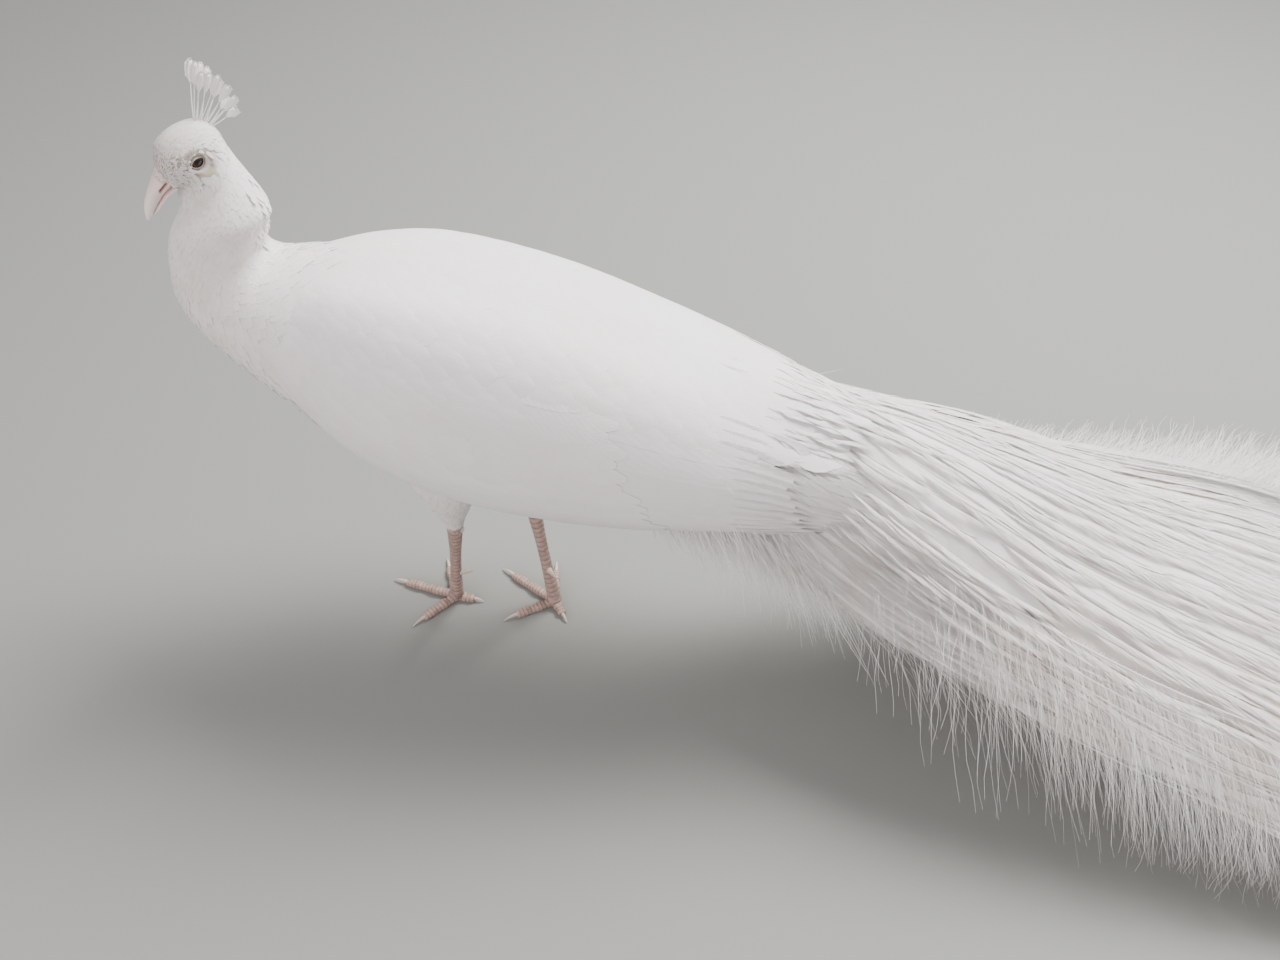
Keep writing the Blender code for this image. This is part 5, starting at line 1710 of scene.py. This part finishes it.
for side, word in SIDES:
    coat = Coat()
    count = 40
    share = np.linspace(0, 1, count)
    u = 0.25 + 0.17 * share + draws.uniform(-0.01, 0.01, count)
    v = side * np.linspace(0.50 if side < 0 else 0.68, 0.98, count)[draws.permutation(count)]
    turned = side * draws.uniform(0.25, 0.60, count) * (1.03 - np.abs(v))
    vanes = lay_vanes(train_sheet, u, v, draws.uniform(0.13, 0.22, count), np.full(count, 0.0150), side_base,
                      SIDE_PLUME, heading=turned, turn=-0.7 * turned, wide=5)
    # Their roots are painted darker: painted shade where they start under the wing's end.
    coat.add_closed(vanes, train_place, draws.uniform(0.95, 1.0, count), root_painted_shade=0.75)
    add_barbs(coat, vanes, train_place, 0.96, 90, 0.30, 0.030, 17, from_edge=0.6, tufts=6)
    coat.make("side_plumes_" + word, BODY_FEATHERS)

# %% [markdown]
# ## Long edge feathers
#
# The outermost feathers of the train carry no closed vane, only long loose
# hair half a millimetre wide. On the left side it hangs down over the edge, and
# on the right it stands up, as the photograph shows them.

# %% Long edge feathers
EDGE = {"width": (0.5,) + (1,) * 17 + (0.7, 0.3), "rise": (-0.004,) + (-0.001,) * 3 + (0.0,) * 16,
        "crown": 0.1}


def edge_base(u, v):
    """The train's edge: just over its feathers inside, and a little under its sheet outside."""
    inside = smoothstep(1.04, 0.94, np.abs(v))
    return (train_height(u, v) + 0.0035) * inside - 0.004 * smoothstep(0.98, 1.12, np.abs(v))


def waving_barbs(vane, per_side, length, out_deg, lift, sink, width, grow):
    """Long loose barbs to both sides of each shaft.

    Each starts out and up by lift, sinks with the square of the way, and waves from side to side.
    grow holds two places along the train, between which the barbs grow to their full length.
    """
    count = len(vane["u"])
    places = 0.05 + 0.95 * (np.arange(per_side) + draws.random((count, per_side))) / per_side
    keys = ("centre", "tangent", "side", "normal", "u", "v")
    centre, tangent, side, normal, u, v = along_vanes(vane, keys, places)
    made, uvs = [], []
    s = np.linspace(0, 1, 7)[None, :, None]
    for sign in (-1, 1):
        angle = np.radians(out_deg + draws.normal(0, 14, places.shape))[..., None]
        way = np.cos(angle) * tangent + np.sin(angle) * side * sign
        way = way + (lift + draws.normal(0, 0.10, places.shape))[..., None] * np.array([0, 0, 1.0])
        size = length * np.interp(places, (0.05, 0.2, 0.8, 1.0), (0.5, 1.0, 1.0, 0.5))
        size = size * draws.uniform(0.35, 1.30, places.shape) * np.interp(u, grow, (0.30, 1.0))
        way, start = unit(way).reshape(-1, 1, 3), centre.reshape(-1, 1, 3)
        across = unit(np.cross(way, np.array([0, 0, 1.0])))
        drop = np.array([0.15, 0, -1.0]) * (sink * draws.uniform(0.6, 1.4, (len(way), 1, 1)))
        wave = np.sin(s * draws.uniform(3, 9, (len(way), 1, 1)) + draws.uniform(0, 6.3, (len(way), 1, 1)))
        spine = way * s + drop * s**2 + 0.045 * s * wave * across
        spine = start + spine * size.reshape(-1, 1, 1)
        half = 0.5 * width * (1 - 0.6 * s)
        turned = unit(across + 0.6 * normal.reshape(-1, 1, 3))
        strip = np.stack([spine - turned * half, spine + turned * half], axis=2)
        strip[..., 2] = np.maximum(strip[..., 2], FLOOR_CLEARANCE)
        made.append(strip)
        uvs.append(np.stack(train_place(u, v), -1).reshape(-1, 2))
    return np.concatenate(made), np.concatenate(uvs)


for side, word in SIDES:
    count = 16
    share = np.linspace(0, 1, count)
    u = (0.32 if side < 0 else 0.44) + 0.34 * share + draws.uniform(-0.01, 0.01, count)
    v = side * np.linspace(0.70, 1.00, count)[draws.permutation(count)]
    length = np.minimum(draws.uniform(0.62, 0.88, count), 1.46 - u)
    vanes = lay_vanes(train_sheet, u, v, length, np.full(count, 0.0035), edge_base, EDGE,
                      heading=side * draws.uniform(0.0, 0.06, count))
    coat = Coat()
    add_shafts(coat, vanes, train_place, 0.0015, 0.0008, np.ones(count))
    hangs, stands = (58, -0.05, 0.55, (0.30, 0.50)), (40, 0.45, 0.10, (0.55, 0.95))
    out_deg, lift, sink, grow = hangs if side < 0 else stands
    barbs, uvs = waving_barbs(vanes, 210, 0.085, out_deg, lift, sink, 0.0005, grow)
    coat.add_strips(barbs, uvs, draws.uniform(0.93, 1.0, len(barbs)))
    coat.make("edge_feathers_" + word, BARB_FINISH)

# %% [markdown]
# ## True tail
#
# Nine plain stiff feathers under the train carry its weight on the real bird.

# %% True tail
tail_vanes = lay_vanes(
    under_train_sheet, np.full(9, 0.36), np.linspace(-0.30, 0.30, 9), np.full(9, 0.42), np.full(9, 0.026),
    lambda u, v: np.full(np.shape(u), -0.0095), QUILL, heading=np.linspace(-0.12, 0.12, 9), wide=5)
coat = Coat()
coat.add_closed(tail_vanes, train_place, np.full(9, 0.97), 0.0008)
add_shafts(coat, tail_vanes, train_place, 0.0014, 0.0006, np.ones(9))
coat.make("tail_feathers", LARGE_FEATHERS, nodes=("tail",))

# %% [markdown]
# ## Fluff under the tail
#
# Behind the legs the feathers are downy. Their barbs don't cling together at
# all, so they hang like hair. Thousands of fine strips start on the body's rear
# underside and on the under side of the train's root, and sink as they go back.

# %% Fluff
FLUFF_WIDTH = 0.0010


def add_fluff(coat, place_of, darkest, count, sheet, u_range, v_range, length, back, down,
              height=-0.002, grow=(-9.0, -8.0)):
    """Fine strips from random places of a sheet, with the mean direction back and down.

    grow holds two places along the sheet, between which they grow to their full length.
    """
    u = draws.uniform(*u_range, count)
    v = draws.uniform(*v_range, count)
    root = sheet(u, v, np.full(count, height))
    normal = unit(sheet(u, v, np.full(count, height + 0.001)) - root)
    way = unit(np.array([back, 0, -down]) + 0.35 * normal + draws.normal(0, 0.18, (count, 3)))
    bend = np.array([0.15, 0, -0.30]) + draws.normal(0, 0.14, (count, 3))
    sizes = length * draws.uniform(0.55, 1.15, count) * np.interp(u, grow, (0.35, 1.0))
    facing = unit(normal + draws.normal(0, 0.3, (count, 3)))
    made = strips(root, way, facing, bend, sizes, FLUFF_WIDTH, 5)
    coat.add_strips(made, np.stack(place_of(u, v), -1), draws.uniform(darkest, 1.0, count))


coat = Coat()
for side in (-1, 1):
    add_fluff(coat, body_place, 0.93, 6800, body_sheet, (-1.9, -0.02), sorted((side * 1.55, side * 3.1)),
              0.135, 0.74, 0.80, grow=(-1.8, -0.4))
    add_fluff(coat, body_place, 0.96, 1600, body_sheet, (-1.5, -0.05), sorted((side * 0.7, side * 1.7)),
              0.060, 1.0, 0.45)
add_fluff(coat, train_place, 0.93, 6600, under_train_sheet, (0.26, 0.60), (-1.0, 1.0), 0.095, 0.75, 0.78,
          height=-0.003)
coat.make("vent_fluff", BODY_FEATHERS)

# %% [markdown]
# ## Feet
#
# Legs and toes are bare and scaled: broad plates down the front of the shank
# and across each toe, small grains behind. The plates are real steps in the
# surface, a saw-tooth along the bone that fades to the back. Claws and spurs
# are plain curved horn.

# %% Shank and toes
TARSUS_RADII = (0.0096, 0.0084, 0.0071, 0.0067, 0.0069, 0.0078, 0.0088)
TOES = {
    "left": ((-9, 0.088), (52, 0.068), (-63, 0.066), (178, 0.036)),
    "right": ((-28, 0.088), (34, 0.068), (-80, 0.066), (128, 0.036)),
}
TOE_HEIGHT = 0.0115
TOE_HALF_WIDTH = 0.0055
TOE_SECTIONS = (
    (0.00, 1.15, 1.25),
    (0.24, 0.80, 0.90),
    (0.38, 0.95, 1.08),
    (0.60, 0.72, 0.86),
    (0.72, 0.84, 0.98),
    (1.00, 0.62, 0.72),
)
SHANK_TOP_RISE = 0.0115
SHANK_PLATE = 0.0072
TOE_PLATE = 0.0046
CLAW_LENGTH = 0.017
HIND_CLAW_LENGTH = 0.012
SPUR_RING = 99  # the shank's ring, of 150, at which the spur stands
SPUR_LENGTH = 0.0235
SPUR_RISE = 0.15
SPUR_CURL = 0.004
SPUR_RADIUS = 0.0048
UP = np.array([0, 0, 1.0])
PLATE_PINK = (0.52, 0.36, 0.31, 1)
PLATE_GREY = (0.27, 0.19, 0.16, 1)
GROOVE_BROWN = (0.17, 0.11, 0.09, 1)
CLAW_PALE = (0.66, 0.55, 0.48, 1)
CLAW_BROWN = (0.45, 0.36, 0.31, 1)


def plates(along, pitch):
    """A saw-tooth from 1 down to 0 over each plate, with a rounded step between plates."""
    phase = np.mod(along / pitch, 1.0)
    return (1 - phase) * smoothstep(0.0, 0.16, phase)


def groove_mask(points, word):
    """1 in the steps between the plates of shank and toes, 0 on the plates."""
    top, foot = np.array(LEGS[word]["hock"]) + (0, 0, SHANK_TOP_RISE), LEGS[word]["foot"]
    down = np.linalg.norm(points - top, axis=1) / SHANK_PLATE
    out = np.hypot(points[:, 0] - foot[0], points[:, 1] - foot[1]) / TOE_PLATE
    phase = np.mod(np.where(points[:, 2] > 0.017, down, out), 1.0)
    return 0.8 * np.exp(-(np.minimum(phase, 1 - phase) / 0.13) ** 2)


def bar(path, radii, around, relief):
    """A round bar along a path: rings across its direction, with relief(along, angle) added to the radius."""
    tangent = unit(np.gradient(path, axis=0))
    side = unit(np.cross(tangent, (0.03, 1.0, 0.02)))
    rise = np.cross(side, tangent)
    turn = ring_angles(around)[None, :]
    along = np.concatenate([[0], np.cumsum(np.linalg.norm(np.diff(path, axis=0), axis=1))])[:, None]
    radius = radii[:, None] + relief(along, turn)
    ring = side[:, None] * np.cos(turn)[..., None] + rise[:, None] * np.sin(turn)[..., None]
    return path[:, None] + radius[..., None] * ring


def shank_bar(word):
    """From inside the feathered hock down to the ankle, plated on its front."""
    foot, hock = LEGS[word]["foot"], np.array(LEGS[word]["hock"])
    top = hock + (0, 0, SHANK_TOP_RISE)
    ankle = np.array([foot[0], foot[1], 0.009])
    share = np.linspace(0, 1, 150)[:, None]
    path = top + (ankle - top) * share
    radii = smooth_rows(np.array(TARSUS_RADII)[:, None], share[:, 0] * 6)[:, 0] - 0.0003

    def relief(along, turn):
        front = smoothstep(-0.1, 0.5, np.cos(turn))
        grains = 0.00018 * np.sin(along * 2600) * np.sin(turn * 11) * (1 - front)
        return 0.00075 * plates(along, SHANK_PLATE) * front + grains

    return bar(path, radii, 48, relief), path


def toe_bar(foot, heading_deg, length, claw):
    """A toe along the ground, plated on top and flat below, and its claw."""
    heading = math.radians(heading_deg)
    along_dir = np.array([-math.cos(heading), -math.sin(heading), 0.0])
    aside = np.array([along_dir[1], -along_dir[0], 0.0])
    bone = length - claw
    share = np.linspace(0, 1, 90)
    shares, tall, wide = np.array(TOE_SECTIONS).T
    place = np.interp(share, shares, np.arange(len(shares)))
    high, half = (smooth_rows(np.stack([tall, wide], -1), place) * (TOE_HEIGHT, TOE_HALF_WIDTH)).T
    round_end = np.sqrt(np.clip((1 - share) / 0.05, 0.08, 1))
    high, half = high * round_end, half * round_end
    turn = ring_angles(36)
    ring_up = np.clip(0.5 + 0.56 * np.sin(turn), 0.0, 1.0)
    ring_side = np.sign(np.cos(turn)) * np.abs(np.cos(turn)) ** 0.8
    top = smoothstep(0.0, 0.6, np.sin(turn))[None, :]
    ridge = 0.00055 * plates(share * bone, TOE_PLATE)[:, None] * top
    base = np.array([foot[0], foot[1], 0.0])
    middle = base + along_dir * (share * bone)[:, None]
    rings = middle[:, None] + aside * (half[:, None] * ring_side)[..., None]
    rings = rings + UP * (high[:, None] * ring_up[None, :] * 0.97 + ridge)[..., None]
    steps = np.linspace(0, 1, 24)
    claw_path = base + along_dir * (bone - 0.004 + (claw + 0.003) * steps)[:, None]
    claw_rise = 0.0042 + 0.0012 * np.sin(np.pi * steps) - 0.0026 * steps**2
    claw_path = claw_path + UP * claw_rise[:, None]
    claw_radii = 0.0027 * (1 - steps) ** 0.7 + 0.0003
    return rings, bar_along(claw_path, claw_radii, aside)


def bar_along(path, radii, aside):
    """A bar whose rings stand across a nearly level path."""
    turn = ring_angles(20)
    tangent = unit(np.gradient(path, axis=0))
    rise = np.cross(tangent, aside)
    rise = rise * np.sign(rise[:, 2:3])
    ring = aside * np.cos(turn)[None, :, None] * 0.8 + rise[:, None] * np.sin(turn)[None, :, None]
    made = path[:, None] + radii[:, None, None] * ring
    made[..., 2] = np.maximum(made[..., 2], 0.0002)
    return made


# %% Foot finishes and meshes
def scale_material():
    """Pinkish brown plates with a dusty grey stain, and grains between them."""
    material, tree, shader = new_material("leg_scales", 0.55, 0.4)
    plated = mottled(tree, 130.0, 0.9, PLATE_PINK, PLATE_GREY)
    colour = mix_colours(tree, attribute_value(tree, "groove"), plated, GROOVE_BROWN)
    tree.links.new(colour, shader.inputs["Base Color"])
    cells = tree.nodes.new("ShaderNodeTexVoronoi")
    cells.inputs["Scale"].default_value = 520.0
    tree.links.new(object_coordinates(tree), cells.inputs["Vector"])
    add_bump(tree, shader, cells.outputs["Distance"], 0.0004, 0.5)
    return material


def claw_material():
    """Plain pale horn with a brown stain."""
    material, tree, shader = new_material("claw_horn", 0.42, 0.5)
    tree.links.new(mottled(tree, 120.0, 0.6, CLAW_PALE, CLAW_BROWN), shader.inputs["Base Color"])
    add_bump(tree, shader, noise_height(tree, 700.0), 0.0002, 0.4)
    return material


LEG_SCALES = scale_material()
CLAW_HORN = claw_material()
for word in LEGS:
    foot = LEGS[word]["foot"]
    shank, shank_path = shank_bar(word)
    bars, claws = [shank], []
    for k, (heading, length) in enumerate(TOES[word]):
        rings, claw = toe_bar(foot, heading, length, HIND_CLAW_LENGTH if k == 3 else CLAW_LENGTH)
        bars.append(rings)
        claws.append(claw)
    back = math.radians(TOES[word][3][0])
    spur_way = np.array([-math.cos(back), -math.sin(back), SPUR_RISE])
    steps = np.linspace(0, 1, 24)[:, None]
    spur_path = shank_path[SPUR_RING] + spur_way * SPUR_LENGTH * steps
    spur_path = spur_path + np.array([0, 0, SPUR_CURL]) * steps**2
    spur_side = unit(np.cross(spur_way, (0, 0, 1)))
    claws.append(bar_along(spur_path, SPUR_RADIUS * (1 - steps[:, 0]) ** 0.8 + 0.0005, spur_side))
    points, faces = join_tubes(bars)
    add_piece("scaled_foot_" + word, points, faces, LEG_SCALES, ("foot_" + word,),
              values={"groove": groove_mask(points, word)})
    points, faces = join_tubes(claws)
    add_piece("claws_" + word, points, faces, CLAW_HORN)

# %% [markdown]
# ## Floor
#
# A plain pale sheet, large enough to fill the view. It isn't part of the bird.

# %% Floor
FLOOR_HALF = 6.0
floor_mesh = bpy.data.meshes.new("floor")
floor_corners = [(-FLOOR_HALF, -FLOOR_HALF, 0), (FLOOR_HALF, -FLOOR_HALF, 0), (FLOOR_HALF, FLOOR_HALF, 0),
                 (-FLOOR_HALF, FLOOR_HALF, 0)]
floor_mesh.from_pydata(floor_corners, [], [(0, 1, 2, 3)])
floor = bpy.data.objects.new("floor", floor_mesh)
bpy.context.scene.collection.objects.link(floor)
floor_finish, _, floor_shader = new_material("floor_sheet", 0.85, 0.2)
floor_shader.inputs["Base Color"].default_value = (0.27, 0.275, 0.26, 1)
floor_mesh.materials.append(floor_finish)

# %% Measure and finish
print("triangles in all:", coat_total)
